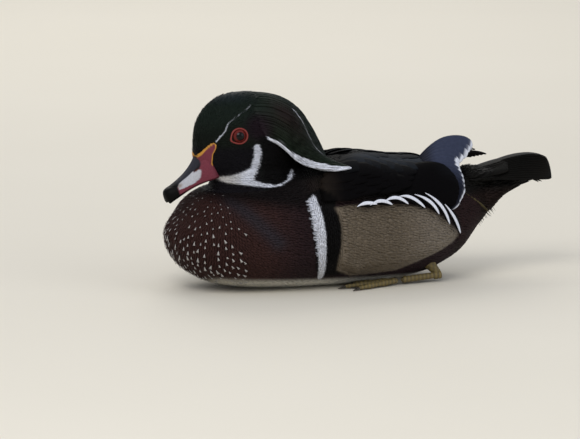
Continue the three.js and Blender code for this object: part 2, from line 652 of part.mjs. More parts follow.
function undertailFeathers() {
  const feathers = [];
  for (let i = 0; i < UNDERTAIL_FEATHERS; i += 1) {
    const u = (i + 0.5) / UNDERTAIL_FEATHERS * 2 - 1;
    const from = undertail.surface(258, -Math.PI / 2 + u * 1.3, -1.5);
    const to = undertail.surface(289, -Math.PI / 2 + u * 1.3, 1.5);
    const over = undertail.surface(274, -Math.PI / 2 + u * 1.3, 2);
    feathers.push(vane({ from, over, to, up: point(0, u, -1), width: 9, thick: 1, blunt: 0.3, steps: 3 }));
  }
  return feathers;
}

const underSolid = join([undertail.solid(0, () => 0, 14, 9), ...undertailFeathers()]).subtract(torsoClear)
  .subtract(rumpClear);
const tail = join([rump.solid(0, () => 0, 12, 8), ...tailFeathers(), ...tailCoverts()]).subtract(torsoClear);
addPart('tail', largest(tail), 0x14110f, 0.5);
addPart('undertail', largest(underSolid), 0x1c1512, 0.7);

// Move the bird so that the middle of the bottom of its box is the origin.
const box = new THREE.Box3().setFromObject(group);
group.position.set(-(box.min.x + box.max.x) / 2, -(box.min.y + box.max.y) / 2, 0);
group.updateMatrixWorld(true);

export default group;
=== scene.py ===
import math

import bmesh
import bpy
import numpy as np
from mathutils import Matrix, Vector
from mathutils.bvhtree import BVHTree


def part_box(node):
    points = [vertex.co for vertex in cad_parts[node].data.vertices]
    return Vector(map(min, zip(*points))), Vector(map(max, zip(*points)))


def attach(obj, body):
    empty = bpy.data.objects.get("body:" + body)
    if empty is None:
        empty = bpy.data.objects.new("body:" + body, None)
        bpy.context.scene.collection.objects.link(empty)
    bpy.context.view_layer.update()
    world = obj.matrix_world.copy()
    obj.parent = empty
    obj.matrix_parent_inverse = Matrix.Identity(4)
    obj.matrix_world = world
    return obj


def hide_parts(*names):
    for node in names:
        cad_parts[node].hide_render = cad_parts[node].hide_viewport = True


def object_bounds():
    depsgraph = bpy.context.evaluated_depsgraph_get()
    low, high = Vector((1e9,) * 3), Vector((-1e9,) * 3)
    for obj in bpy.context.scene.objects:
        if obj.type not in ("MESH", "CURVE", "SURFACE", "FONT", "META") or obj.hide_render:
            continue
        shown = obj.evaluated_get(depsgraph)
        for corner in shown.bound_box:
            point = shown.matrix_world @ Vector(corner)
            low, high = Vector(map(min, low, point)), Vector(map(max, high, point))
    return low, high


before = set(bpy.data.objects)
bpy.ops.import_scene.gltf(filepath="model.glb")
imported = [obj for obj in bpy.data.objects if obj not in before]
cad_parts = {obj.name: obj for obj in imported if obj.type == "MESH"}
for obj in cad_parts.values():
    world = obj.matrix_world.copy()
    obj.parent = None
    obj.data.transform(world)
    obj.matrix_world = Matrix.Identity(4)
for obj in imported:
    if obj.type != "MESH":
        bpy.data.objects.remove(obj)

# A drake wood duck at life size, resting on its belly. Shapes are worked out in millimetres from the
# front of the breast, X back, Z up, the left side toward -Y, and are moved to the frame at the end.
# The two numbers of a ramp are the places, in millimetres or shares, between which one form or colour
# passes into the next.
CAD_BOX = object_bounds()
MM = 0.001
BREAST_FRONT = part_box("torso")[0].x
SIDES = ((-1, "left"), (1, "right"))
draw = np.random.default_rng(41)

# Rows of x, half width, bottom and top of each part of the body.
TORSO = [
    [0, 0, 41, 41], [3, 18, 29, 53.5], [8, 29, 20, 63.5], [16, 38, 12.5, 71.5], [30, 47.5, 5, 78],
    [50, 54, 0.5, 81.5], [80, 58.5, -2, 86], [105, 59.5, -2.5, 90], [125, 59, -2.5, 91.8],
    [145, 58, -2, 94], [165, 55.5, -1.2, 94.2], [200, 48, 3.5, 90.5], [225, 38, 14, 83],
    [243, 27, 27, 76], [255, 15, 44, 71], [261, 0, 59, 59],
]
SKULL = [
    [18.5, 0, 114, 114], [20, 7, 98, 128], [24, 9.5, 91, 137], [30, 12, 87, 143],
    [40, 15.8, 83, 147.8], [52, 18.4, 79, 149.9], [66, 20, 76, 148.8], [80, 19.6, 76, 144.5],
    [92, 17, 79, 137], [102, 11, 90, 126], [107, 0, 108, 108],
]
CREST_CORE = [
    [62, 0, 147, 147], [68, 10, 138, 149.6], [79, 16.5, 118, 147], [90, 18.5, 100, 141.5],
    [102, 16, 90, 132], [110, 10, 88, 122], [115, 0, 98, 98],
]
UNDERTAIL = [
    [232, 0, 40, 40], [237, 13, 25, 62], [245, 21, 29.5, 68], [254, 20, 42, 71], [266, 16, 54, 74.5],
    [280, 11, 62, 76], [292, 5, 67, 75.5], [297, 0, 71, 71],
]
RUMP = [
    [229, 0, 75, 75], [236, 15, 69, 81.5], [250, 18, 68, 83.3], [264, 15, 71, 84], [276, 0, 79, 79],
]
# Rows of height, middle x, half length and half width of the neck.
NECK = [
    [62, 66, 0, 0], [65, 66, 34, 26], [76, 67, 35, 26.5], [84, 68.5, 34.5, 24], [92, 70.5, 34, 20],
    [100, 72, 32, 18], [106, 72, 24, 14], [108, 72, 0, 0],
]
FLANK_OUTLINE = [
    [112, 64.5], [140, 66], [174, 67.5], [196, 65.5], [212, 57], [223, 38], [206, 25], [170, 15],
    [130, 13], [109, 26], [106, 48],
]
WING_OUTLINE = [
    [104, 72], [120, 69], [150, 69.6], [176, 70.6], [196, 68.6], [206, 70], [212, 84], [206, 112],
    [160, 118], [156, 113], [144, 90], [124, 79],
]
# How far the flank and the folded wing stand out from the body, how deep the skin lies under the coat,
# and how much deeper it lies in the face.
FLANK_SWELL = 3.4
WING_SWELL = 4
BODY_COAT = 1.4
HEAD_COAT = 0.8
CREST_COAT = 2.4
FACE_DEPTH = 1.1
# The head is turned to its left about a pivot in the neck.
HEAD_YAW = math.radians(6)
HEAD_PIVOT_X = 75
# The step at which the skin's forms are joined, and how it is softened.
SKIN_VOXEL = 1.7
SKIN_SOFTENING = 7


def curve(rows, column):
    """A smooth curve through one column of rows."""
    rows = np.array(rows, float)
    xs, ys = rows[:, 0], rows[:, column]
    last = len(xs) - 1
    after = np.minimum(np.arange(last + 1) + 1, last)
    before = np.maximum(np.arange(last + 1) - 1, 0)
    slopes = (ys[after] - ys[before]) / (xs[after] - xs[before])

    def value(x):
        x = np.asarray(x, float)
        i = np.clip(np.searchsorted(xs, x, side="right") - 1, 0, last - 1)
        span = xs[i + 1] - xs[i]
        t = np.clip((x - xs[i]) / span, 0, 1)
        rise = t * t * (3 - 2 * t)
        bend = t * (1 - t) ** 2 * span * slopes[i] - t * t * (1 - t) * span * slopes[i + 1]
        return ys[i] * (1 - rise) + ys[i + 1] * rise + bend

    return value


def signed_power(value, power):
    return np.sign(value) * np.abs(value) ** power


def xyz(x, y, z):
    """Points from their coordinates, each a number or an array."""
    return np.stack(np.broadcast_arrays(x, y, z), -1)


def eased(share):
    """Shares from 0 to 1 that lie closer together at both ends."""
    return (1 - np.cos(share * math.pi)) / 2


class Loft:
    """A body drawn along X through its rows, with rounded sections. Its fullness is the power of a
    section's roundness, widest the share of its height at which it is widest."""

    def __init__(self, rows, fullness, widest, narrowing=0):
        self.width, self.bottom, self.top = (curve(rows, column) for column in (1, 2, 3))
        self.first, self.last = rows[0][0], rows[-1][0]
        self.fullness, self.widest, self.narrowing = fullness, widest, narrowing

    def along(self, share):
        return self.first + eased(share) * (self.last - self.first)

    def surface(self, x, angle, lift=0):
        """Places at x and an angle about the axis, a lift outside the surface that fades at both ends."""
        low, high = self.bottom(x), self.top(x)
        middle = low + (high - low) * self.widest
        across = signed_power(np.cos(angle), self.fullness)
        rise = signed_power(np.sin(angle), self.fullness)
        inside = np.maximum(0, np.minimum(x - self.first, self.last - x))
        raised = lift * np.minimum(1, np.sqrt(inside / 4))
        reach = np.where(rise > 0, high - middle, middle - low)
        half = (self.width(x) + raised) * (1 - self.narrowing * rise)
        return xyz(x, across * half, middle + rise * (reach + raised))

    def depth(self, points):
        """How far points lie outside the surface, in about millimetres; less than 0 is inside."""
        x = np.clip(points[:, 0], self.first + 0.01, self.last - 0.01)
        low, high = self.bottom(x), self.top(x)
        middle = low + (high - low) * self.widest
        above = points[:, 2] > middle
        reach = np.maximum(np.where(above, high - middle, middle - low), 0.1)
        rise = (points[:, 2] - middle) / reach
        half = np.maximum(self.width(x) * (1 - self.narrowing * rise), 0.1)
        share = np.abs(points[:, 1] / half) ** (2 / self.fullness) + np.abs(rise) ** (2 / self.fullness)
        outside = (share ** (self.fullness / 2) - 1) * np.minimum(half, reach)
        return np.maximum(outside, np.maximum(self.first - points[:, 0], points[:, 0] - self.last))


torso = Loft(TORSO, fullness=0.92, widest=0.42)
skull = Loft(SKULL, fullness=0.94, widest=0.4, narrowing=0.12)
crest_core = Loft(CREST_CORE, fullness=0.94, widest=0.4, narrowing=0.1)
undertail = Loft(UNDERTAIL, fullness=0.95, widest=0.55)
rump = Loft(RUMP, fullness=0.95, widest=0.4)


def neck_surface(z, angle, lift=0):
    middle, long, wide = (curve(NECK, column)(z) for column in (1, 2, 3))
    grown = lift * np.clip(np.minimum(z - NECK[0][0], NECK[-1][0] - z) / 3, 0, 1)
    return xyz(middle + np.cos(angle) * (long + grown), np.sin(angle) * (wide + grown), z)


def ramp(value, start, stop):
    t = np.clip((value - start) / (stop - start), 0, 1)
    return t * t * (3 - 2 * t)


def mix(a, b, share):
    share = np.asarray(share)[..., None] if np.ndim(share) else share
    return np.asarray(a) * (1 - share) + np.asarray(b) * share


def turned(points, way=1):
    """Turns points of the head with the head, or back with way -1."""
    cosine, sine = math.cos(HEAD_YAW * way), math.sin(HEAD_YAW * way)
    x, y = points[..., 0] - HEAD_PIVOT_X, points[..., 1]
    return xyz(HEAD_PIVOT_X + cosine * x - sine * y, sine * x + cosine * y, points[..., 2])


def turned_way(ways):
    """Turns directions of the head with the head."""
    return turned(ways + [HEAD_PIVOT_X, 0, 0]) - [HEAD_PIVOT_X, 0, 0]


def placed(points):
    """Points in millimetres, moved to the frame."""
    return np.asarray(points) * MM + np.array([BREAST_FRONT, 0, 0])


def to_segments(points, line):
    """Distance from points to a line of corners, and how far along it the nearest place lies."""
    line = np.asarray(line, float)
    points = np.asarray(points, float)
    nearest = np.full(len(points), 1e9)
    share = np.zeros(len(points))
    for i in range(len(line) - 1):
        along = line[i + 1] - line[i]
        t = np.clip((points - line[i]) @ along / (along @ along), 0, 1)
        gap = np.linalg.norm(points - line[i] - t[:, None] * along, axis=1)
        closer = gap < nearest
        nearest = np.where(closer, gap, nearest)
        share = np.where(closer, (i + t) / (len(line) - 1), share)
    return nearest, share


def inside_outline(flat, outline):
    """Signed distance inside an outline of flat corners."""
    loop = np.array(list(outline) + [outline[0]], float)
    gap, _ = to_segments(flat, loop)
    crossings = np.zeros(len(flat), int)
    for (ax, az), (bx, bz) in zip(loop[:-1], loop[1:]):
        spans = (az > flat[:, 1]) != (bz > flat[:, 1])
        at = ax + (flat[:, 1] - az) * (bx - ax) / (bz - az if bz != az else 1e-9)
        crossings += spans & (flat[:, 0] < at)
    return np.where(crossings % 2 == 1, gap, -gap)


def body_swell(points):
    """How far the folded wing and the flank lift the skin at points of the body."""
    flat = points[:, [0, 2]]
    wing = WING_SWELL * ramp(inside_outline(flat, WING_OUTLINE), -3, 6)
    off_middle = ramp(np.abs(points[:, 1]), 5, 25)
    flank = FLANK_SWELL * ramp(inside_outline(flat, FLANK_OUTLINE), -3, 8) * off_middle
    return np.maximum(wing, flank)


def ball_of(place, around=72, along=60):
    """A closed ball whose vertices are set by their share from pole to pole and angle around."""
    bm = bmesh.new()
    bmesh.ops.create_uvsphere(bm, u_segments=around, v_segments=along, radius=1)
    co = np.array([v.co for v in bm.verts])
    share = np.arccos(np.clip(co[:, 2], -1, 1)) / math.pi
    angle = np.arctan2(co[:, 1], co[:, 0])
    for vertex, point in zip(bm.verts, placed(place(share, angle))):
        vertex.co = point
    bmesh.ops.recalc_face_normals(bm, faces=bm.faces[:])
    mesh = bpy.data.meshes.new("part")
    bm.to_mesh(mesh)
    bm.free()
    return mesh


def mesh_parts(mesh):
    """The points of a mesh in millimetres, and its faces."""
    co = np.empty(len(mesh.vertices) * 3)
    mesh.vertices.foreach_get("co", co)
    faces = [tuple(face.vertices) for face in mesh.polygons]
    return (co.reshape(-1, 3) - [BREAST_FRONT, 0, 0]) / MM, faces


def ball_parts(place, around, along):
    """The points and faces of a closed ball, without its mesh."""
    mesh = ball_of(place, around, along)
    points, faces = mesh_parts(mesh)
    bpy.data.meshes.remove(mesh)
    return points, faces


def along_loft(loft, lift):
    def place(share, angle):
        x = loft.along(share)
        return loft.surface(x, angle, lift(x, angle) if callable(lift) else lift)
    return place


def torso_lift(x, angle):
    return body_swell(torso.surface(x, angle)) - BODY_COAT


def face_lift(x, angle=0):
    """The face lies a little deeper than the rest of the head under its coat."""
    return -HEAD_COAT - FACE_DEPTH * ramp(x, 38, 26)


def reshaped(points):
    """The mantle raised behind the crest, the lower back, the breast's front and the vent drawn in."""
    points = np.array(points, float)
    x, z = points[..., 0], points[..., 2]
    mantle = 3.6 * np.exp(-((x - 136) / 17) ** 2) - 1.9 * np.exp(-((x - 182) / 15) ** 2)
    breast = 3.8 * ramp(z, 42, 60) * ramp(z, 84, 74) * ramp(x, 46, 6)
    vent = 3.5 * ramp(z, 52, 36) * ramp(x, 222, 246)
    points[..., 0] = x + (breast - vent)
    points[..., 2] = z + mantle * ramp(z, 76, 90) * ramp(z, 104, 98)
    return points


def neck_place(share, angle):
    z = NECK[-1][0] + (NECK[0][0] - NECK[-1][0]) * eased(share)
    return turned(neck_surface(z, angle, -HEAD_COAT))


def make_skin():
    """One closed surface joined from the forms of body, neck, head, undertail and rump."""
    parts = [
        ball_of(along_loft(torso, torso_lift), 128, 110),
        ball_of(neck_place),
        ball_of(lambda share, angle: turned(along_loft(skull, face_lift)(share, angle)), 96, 80),
        ball_of(lambda share, angle: turned(along_loft(crest_core, -CREST_COAT)(share, angle))),
        ball_of(along_loft(undertail, -BODY_COAT)),
        ball_of(along_loft(rump, -BODY_COAT)),
    ]
    bm = bmesh.new()
    for part in parts:
        bm.from_mesh(part)
        bpy.data.meshes.remove(part)
    mesh = bpy.data.meshes.new("skin_form")
    bm.to_mesh(mesh)
    bm.free()
    form = bpy.data.objects.new("skin_form", mesh)
    bpy.context.scene.collection.objects.link(form)
    remesh = form.modifiers.new("joined", "REMESH")
    remesh.mode = "VOXEL"
    remesh.voxel_size = SKIN_VOXEL * MM
    soften = form.modifiers.new("soften", "SMOOTH")
    soften.factor = 0.5
    soften.iterations = SKIN_SOFTENING
    bpy.context.view_layer.update()
    shaped = form.evaluated_get(bpy.context.evaluated_depsgraph_get())
    skin = bpy.data.meshes.new_from_object(shaped)
    bpy.data.objects.remove(form)
    skin.name = "skin"
    return skin


skin_points, skin_faces = mesh_parts(make_skin())
skin_points = reshaped(skin_points)
skin_tree = BVHTree.FromPolygons([tuple(p) for p in skin_points], skin_faces)


# Colours of feathers in soft light, as seen.
def linear(colour):
    """The linear light of an sRGB colour in hex."""
    values = [int(colour[i:i + 2], 16) / 255 for i in (1, 3, 5)]
    return np.array([v / 12.92 if v <= 0.04045 else ((v + 0.055) / 1.055) ** 2.4 for v in values])


WHITE = linear("#d5d8e2")
# Painted shade: a grey for the white chin under the bill.
CHIN_PAINTED_SHADE = linear("#b4b1ae")
BLACK = linear("#070606")
CROWN_GREEN = linear("#161f19")
# Painted sheen: a blue-grey for light on the top of the crown.
CROWN_TOP_PAINTED_SHEEN = linear("#20282d")
FOREHEAD = linear("#10150f")
HEAD_PURPLE = linear("#1c0f18")
CREST_GREEN = linear("#141d14")
CREST_MAROON = linear("#1c0e0e")
CHEEK = linear("#0f0d11")
BREAST = linear("#36221f")
BREAST_SIDE = linear("#25191b")
BREAST_TOP = linear("#0f0a0a")
BREAST_SHEEN = linear("#2b2a30")
BELLY = linear("#cfcabd")
SPOT = linear("#a9a5a2")
SHOULDER = linear("#1f1a16")
BACK = linear("#0a0a0b")
# Painted sheen: a blue-grey for light caught along the upper scapulars and the upper tertials.
BACK_PAINTED_SHEEN = linear("#252a31")
RUMP_MAROON = linear("#271819")
VENT = linear("#1a110e")
FLANK = linear("#665c4f")
# Painted light: a paler buff that lifts the shade on the flank's rear, where the body curves away.
FLANK_REAR_PAINTED_LIGHT = linear("#7f766b")
HUMP_BLUE = linear("#353a4c")
HUMP_DARK = linear("#22232c")
TERTIAL = linear("#070607")
PRIMARY = linear("#1b1c20")
TAIL = linear("#0e0d0b")
TAIL_EDGE = linear("#1f1b17")
OLIVE = linear("#5b5238")

# Marks of the head on its left side, as corners in its own frame before it is turned.
BROW_LINE = [
    (31.3, -11.4, 113.7), (34.5, -12.3, 117.8), (38.4, -13.2, 121.9), (41.1, -12.8, 127.8),
    (49.5, -12.8, 133.4), (56, -12.0, 137.2), (60.5, -11.2, 140.2),
]
CHEEK_BAR = [
    (62.7, -18.7, 108.9), (63.3, -19.1, 104.8), (62.2, -19.2, 98.7), (60.2, -18.4, 92.5),
    (56.5, -20.0, 87.7), (52.7, -20.1, 85.0),
]
NECK_LINE = [
    (57.0, -22.2, 83.2), (61.2, -23.8, 81.4), (68.0, -25.4, 80.2), (75.2, -27.0, 79.7),
    (81.0, -27.4, 80.7), (87.2, -24.4, 83.1), (92.2, -17.8, 86.4), (94.3, -14.0, 89.2),
]
THROAT = [
    (33, 86.6), (36.4, 87), (41.4, 87.4), (48.2, 89.3), (53.4, 91.4), (58, 93.6), (61.6, 92),
    (59.6, 88.2), (58.6, 84.6), (64, 82.4), (67, 79.2), (60.5, 79.9), (54.9, 80.9), (47, 81.9),
    (40.1, 82.6), (36.9, 83.8),
]
CREST_LINE_FRONT = [
    (72.7, -18.2, 114.9), (76.5, -18.2, 113.1), (81.4, -17.9, 111.1), (86.2, -17.4, 107.7),
    (90.0, -16.6, 105.0),
]
# Marks of the body on its left side, as corners of x and z.
SHEEN_BAND = [(40, 71), (52, 59), (69, 41)]
WHITE_BAR = [
    (102.7, 74.4), (96.9, 70.6), (96.6, 64.8), (97.3, 51.1), (98.9, 39.6), (101, 26.2), (104, 12), (107, 7),
    (109, 12), (106.7, 28.9), (106.4, 43.7), (105.9, 55), (104.6, 64.5),
]
BLACK_BAR = [
    (103, 76), (97, 74), (95, 60), (97, 42), (100, 20), (108, 4), (124, 8), (121, 24), (120.5, 40),
    (119.2, 50), (117.4, 62), (118, 72), (110, 78),
]
FLANK_PANEL = [
    (116.4, 64.6), (117, 59.8), (118.4, 50.6), (117.8, 37.4), (116, 25.5), (118, 16), (132, 10),
    (170, 12), (204, 25), (217, 31), (223.5, 37.2), (213, 46), (203, 54), (190, 61), (169, 64.5),
    (145, 66), (128, 66),
]
RUMP_PATCH = [
    (214, 60), (222, 66), (233, 66), (244, 62), (246, 48), (240, 28), (228, 20), (222, 34), (214, 48),
]


def mirrored(points):
    """Every point seen on the left side."""
    return xyz(points[:, 0], -np.abs(points[:, 1]), points[:, 2])


def line_share(points, line, wide_start, wide_end, soft=0.35):
    """How far points lie within a painted line whose half width changes along it."""
    gap, share = to_segments(points, line)
    half = wide_start + (wide_end - wide_start) * share
    return ramp(half + soft / 2 - gap, 0, soft)


def paint_head(points):
    """Colours of the head, for points in its own frame."""
    p = mirrored(points)
    x, _, z = p.T
    colour = mix(FOREHEAD, CROWN_GREEN, ramp(z, 116, 134))
    # Painted sheen: the top of the crown, toward the front, turns blue-grey.
    colour = mix(colour, CROWN_TOP_PAINTED_SHEEN, 0.75 * ramp(z, 140, 149) * ramp(x, 75, 45))
    colour = mix(colour, HEAD_PURPLE, 0.85 * ramp(np.hypot(x - 66, 1.15 * (z - 124)), 17, 5))
    colour = mix(colour, CREST_GREEN, ramp(x, 76, 96) * ramp(z, 100, 116))
    colour = mix(colour, CREST_MAROON, 0.6 * ramp(np.hypot(x - 92, z - 120), 16, 5))
    colour = mix(colour, CHEEK, ramp(z, 113, 106) * ramp(x, 68, 62))
    nape = ramp(z - (114.5 - 0.62 * (x - 72)), 1, -1) * ramp(x, 64, 68)
    colour = mix(colour, BLACK, nape)
    # Painted shade: the white of the throat turns grey toward the chin, under the bill.
    throat = mix(CHIN_PAINTED_SHADE, WHITE, ramp(x, 40, 56))
    colour = mix(colour, throat, ramp(inside_outline(p[:, [0, 2]], THROAT), -0.6, 0.6))
    for line, start, end in (
        (CHEEK_BAR, 2.7, 3.2), (NECK_LINE, 1.7, 1.1), (CREST_LINE_FRONT, 0.8, 1.7), (BROW_LINE, 0.45, 0.35),
    ):
        colour = mix(colour, WHITE, line_share(p, line, start, end))
    return colour


def paint_body(points):
    """Colours of the breast, back, belly and rump."""
    p = mirrored(points)
    x, y, z = p.T
    flat = p[:, [0, 2]]
    colour = mix(BREAST, BREAST_SIDE, ramp(x, 55, 95))
    sheen = np.exp(-(to_segments(flat, SHEEN_BAND)[0] / 6.5) ** 2)
    colour = mix(colour, BREAST_SHEEN, 0.75 * sheen)
    colour = mix(colour, BREAST_TOP, ramp(z + 0.12 * (x - 30), 66, 78) * ramp(x, 118, 96))
    colour = mix(colour, SHOULDER, ramp(x, 92, 112) * ramp(z, 66, 74))
    colour = mix(colour, BACK, ramp(x, 116, 150) * ramp(z, 60, 76))
    mantle = ramp(x, 88, 98) * ramp(x, 150, 128) * ramp(np.abs(y), 34, 22) * ramp(z, 78, 84)
    colour = mix(colour, BLACK, mantle)
    colour = mix(colour, BELLY, ramp(z + 0.035 * x, 15, 9) * ramp(x, 22, 34))
    colour = mix(colour, BLACK, ramp(inside_outline(flat, BLACK_BAR), -0.8, 0.8) * ramp(z, 8, 14))
    # Painted light: the flank turns paler toward the rear, against the shade where the body curves away.
    flank = mix(FLANK, FLANK_REAR_PAINTED_LIGHT, ramp(x, 160, 210))
    colour = mix(colour, flank, ramp(inside_outline(flat, FLANK_PANEL), -0.8, 0.8))
    colour = mix(colour, VENT, ramp(x, 216, 226) * ramp(z, 90, 60))
    colour = mix(colour, RUMP_MAROON, ramp(inside_outline(flat, RUMP_PATCH), -1, 2) * 0.9)
    colour = mix(colour, TAIL, ramp(x, 222, 236) * ramp(z, 62, 70))
    colour = mix(colour, WHITE, ramp(inside_outline(flat, WHITE_BAR), -0.4, 0.4) * ramp(z, 6, 10))
    return colour


def on_head(points):
    """Whether points belong to the head or upper neck, with their place in its own frame."""
    own = turned(points, -1)
    above = own[:, 2] > 77 + 0.06 * (own[:, 0] - 60)
    near = np.minimum(skull.depth(own), crest_core.depth(own)) < 3
    z = np.clip(own[:, 2], NECK[0][0], NECK[-1][0])
    long, wide = (np.maximum(curve(NECK, column)(z) + 4, 1) for column in (2, 3))
    in_neck = ((own[:, 0] - curve(NECK, 1)(z)) / long) ** 2 + (own[:, 1] / wide) ** 2 < 1
    return above & (near | in_neck), own


def paint(points):
    """Colours of any points on or over the skin."""
    head, own = on_head(points)
    colour = paint_body(points)
    if head.any():
        colour[head] = paint_head(own[head])
    return colour


# Materials. One function adds a node with its settings and links.
def add_node(material, kind, settings=None, links=None):
    node = material.node_tree.nodes.new(kind)
    for name, value in (settings or {}).items():
        if isinstance(name, int) or name in node.inputs:
            node.inputs[name].default_value = value
        else:
            setattr(node, name, value)
    for name, source in (links or {}).items():
        material.node_tree.links.new(source, node.inputs[name])
    return node


def new_material(name):
    material = bpy.data.materials.new(name)
    material.use_nodes = True
    material.node_tree.nodes.clear()
    return material


def finish_material(material, settings, links):
    shader = add_node(material, "ShaderNodeBsdfPrincipled", settings, links)
    add_node(material, "ShaderNodeOutputMaterial", None, {"Surface": shader.outputs["BSDF"]})
    return material


# Patterns to a metre: feathers' patches of tone are about 2.4 mm and their relief is 0.4 mm across. The
# flank's bars lie 1.3 mm and the barbs of a vane 0.9 mm apart, both drawn coarser than the real ones.
TONE_SCALE = 420
RELIEF_SCALE = 2600
BAR_SCALE = 240
BARB_GAP = 0.9


def feather_material(name, roughness, gloss, variety, barbs=False, bars=0.0):
    """Feathers: keratin barbs, matt across and silky along, so low gloss with fine uneven tone."""
    material = new_material(name)
    marking = add_node(material, "ShaderNodeAttribute", {"attribute_name": "marking"})
    place = add_node(material, "ShaderNodeTexCoord").outputs["Object"]
    tone = add_node(material, "ShaderNodeTexNoise", {"Scale": TONE_SCALE, "Detail": 3}, {"Vector": place})
    level = add_node(
        material, "ShaderNodeMapRange",
        {"From Min": 0.3, "From Max": 0.7, "To Min": 1 - variety, "To Max": 1 + variety},
        {"Value": tone.outputs["Fac"]},
    ).outputs["Result"]
    if bars:
        wave = add_node(
            material, "ShaderNodeTexWave",
            {"Scale": BAR_SCALE, "Distortion": 2.5, "Detail": 2, "Detail Scale": 0.6}, {"Vector": place},
        )
        dark = add_node(
            material, "ShaderNodeMapRange", {"To Min": 1 - bars / 2, "To Max": 1 + bars / 2},
            {"Value": wave.outputs["Fac"]},
        )
        level = add_node(
            material, "ShaderNodeMath", {"operation": "MULTIPLY"}, {0: level, 1: dark.outputs["Result"]},
        ).outputs[0]
    shaded = add_node(
        material, "ShaderNodeVectorMath", {"operation": "MULTIPLY"},
        {0: marking.outputs["Color"], 1: level},
    )
    relief = add_node(
        material, "ShaderNodeTexNoise", {"Scale": RELIEF_SCALE, "Detail": 2}, {"Vector": place},
    ).outputs["Fac"]
    if barbs:
        lines = add_node(material, "ShaderNodeAttribute", {"attribute_name": "barb"})
        turns = add_node(
            material, "ShaderNodeMath", {"operation": "MULTIPLY", 1: 2 * math.pi / BARB_GAP},
            {0: lines.outputs["Fac"]},
        )
        wave = add_node(material, "ShaderNodeMath", {"operation": "SINE"}, {0: turns.outputs[0]})
        relief = add_node(
            material, "ShaderNodeMath", {"operation": "MULTIPLY_ADD", 1: 0.25},
            {0: wave.outputs[0], 2: relief},
        ).outputs[0]
    bump = add_node(material, "ShaderNodeBump", {"Strength": 0.35, "Distance": 0.0002}, {"Height": relief})
    return finish_material(
        material, {"Roughness": roughness, "Specular IOR Level": gloss},
        {"Base Color": shaded.outputs["Vector"], "Normal": bump.outputs["Normal"]},
    )


# Pieces. Points stay a little off the floor and under the top of the frame.
FLOOR_GAP = 0.05
BAKE_MARGIN = 0.001


def mesh_object(
    name, points, faces, slot, material, colours, bake=None, smooth=True, replaces=(), barb=None,
):
    """One piece from points in millimetres, each with its colour, its place on the map and along a vane."""
    mesh = bpy.data.meshes.new(name)
    points = np.array(points, float)
    points[:, 2] = np.clip(points[:, 2], FLOOR_GAP, CAD_BOX[1][2] / MM - FLOOR_GAP)
    faces = faces.tolist() if isinstance(faces, np.ndarray) else faces
    mesh.from_pydata(placed(points).tolist(), [], faces)
    flags = np.array(np.broadcast_to(smooth, len(mesh.polygons)), bool)
    mesh.polygons.foreach_set("use_smooth", flags)
    layer = mesh.attributes.new("marking", "FLOAT_COLOR", "POINT")
    rgba = np.concatenate([colours, np.ones((len(colours), 1))], 1)
    layer.data.foreach_set("color", rgba.ravel())
    if barb is not None:
        mesh.attributes.new("barb", "FLOAT", "POINT").data.foreach_set("value", barb)
    if bake is not None:
        corners = np.empty(len(mesh.loops), int)
        mesh.loops.foreach_get("vertex_index", corners)
        places = np.clip(bake[corners], BAKE_MARGIN, 1 - BAKE_MARGIN).ravel()
        mesh.uv_layers.new(name="OFBake").data.foreach_set("uv", places)
    mesh.materials.append(material)
    piece = bpy.data.objects.new(name, mesh)
    bpy.context.scene.collection.objects.link(piece)
    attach(piece, "root")
    if replaces:
        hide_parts(*replaces)


def unit(vectors):
    return vectors / np.maximum(np.linalg.norm(vectors, axis=-1, keepdims=True), 1e-9)


def quad(a, b, c, d):
    return [(a, b, c), (a, c, d)]


def ribbons(centres, normals, halves, ridge, columns=3, camber=0.0):
    """Closed blades along rows of centres, with columns of points across a ridge above. Those of three
    columns have a flat underside, and broader ones a second skin under the first."""
    count, rows = centres.shape[:2]
    each = rows * columns
    tangents = unit(np.gradient(centres, axis=1))
    sides = unit(np.cross(normals, tangents))
    ups = unit(np.cross(tangents, sides))
    across = np.linspace(-1, 1, columns)
    rise = ridge[..., None] * (1 - across ** 2) + camber * halves[..., None] * (1 - across ** 2)
    points = (
        centres[:, :, None] + sides[:, :, None] * (halves[..., None] * across)[..., None]
        + ups[:, :, None] * rise[..., None]
    )
    cloud = points.reshape(count, each, 3)
    soft, sharp = [], []

    def at(row, column):
        return row * columns + column

    for row in range(rows - 1):
        for column in range(columns - 1):
            soft += quad(at(row, column), at(row + 1, column), at(row + 1, column + 1), at(row, column + 1))
    if columns == 3:
        for row in range(rows - 1):
            sharp += quad(at(row, 0), at(row, 2), at(row + 1, 2), at(row + 1, 0))
        sharp += [(at(0, 0), at(0, 1), at(0, 2)), (at(rows - 1, 0), at(rows - 1, 2), at(rows - 1, 1))]
    else:
        under = points - ups[:, :, None] * ridge[..., None, None]
        cloud = np.concatenate([cloud, under.reshape(count, each, 3)], 1)
        soft += [(a + each, c + each, b + each) for a, b, c in soft]
        rim = [at(0, column) for column in range(columns)]
        rim += [at(row, columns - 1) for row in range(1, rows)]
        rim += [at(rows - 1, column) for column in range(columns - 2, -1, -1)]
        rim += [at(row, 0) for row in range(rows - 2, 0, -1)]
        for a, b in zip(rim, rim[1:] + rim[:1]):
            sharp += quad(a, b, b + each, a + each)
    faces = np.arange(count)[:, None, None] * cloud.shape[1] + np.array(soft + sharp)
    flags = [True] * len(soft) + [False] * len(sharp)
    return cloud.reshape(-1, 3), faces.reshape(-1, 3), np.tile(flags, count)


# How much feathers of a coat differ, and the common one's width from root to tip, as shares.
LENGTH_VARIETY = 0.15
LIFT_VARIETY = 0.3
OVAL = (0.75, 1.0, 0.42)


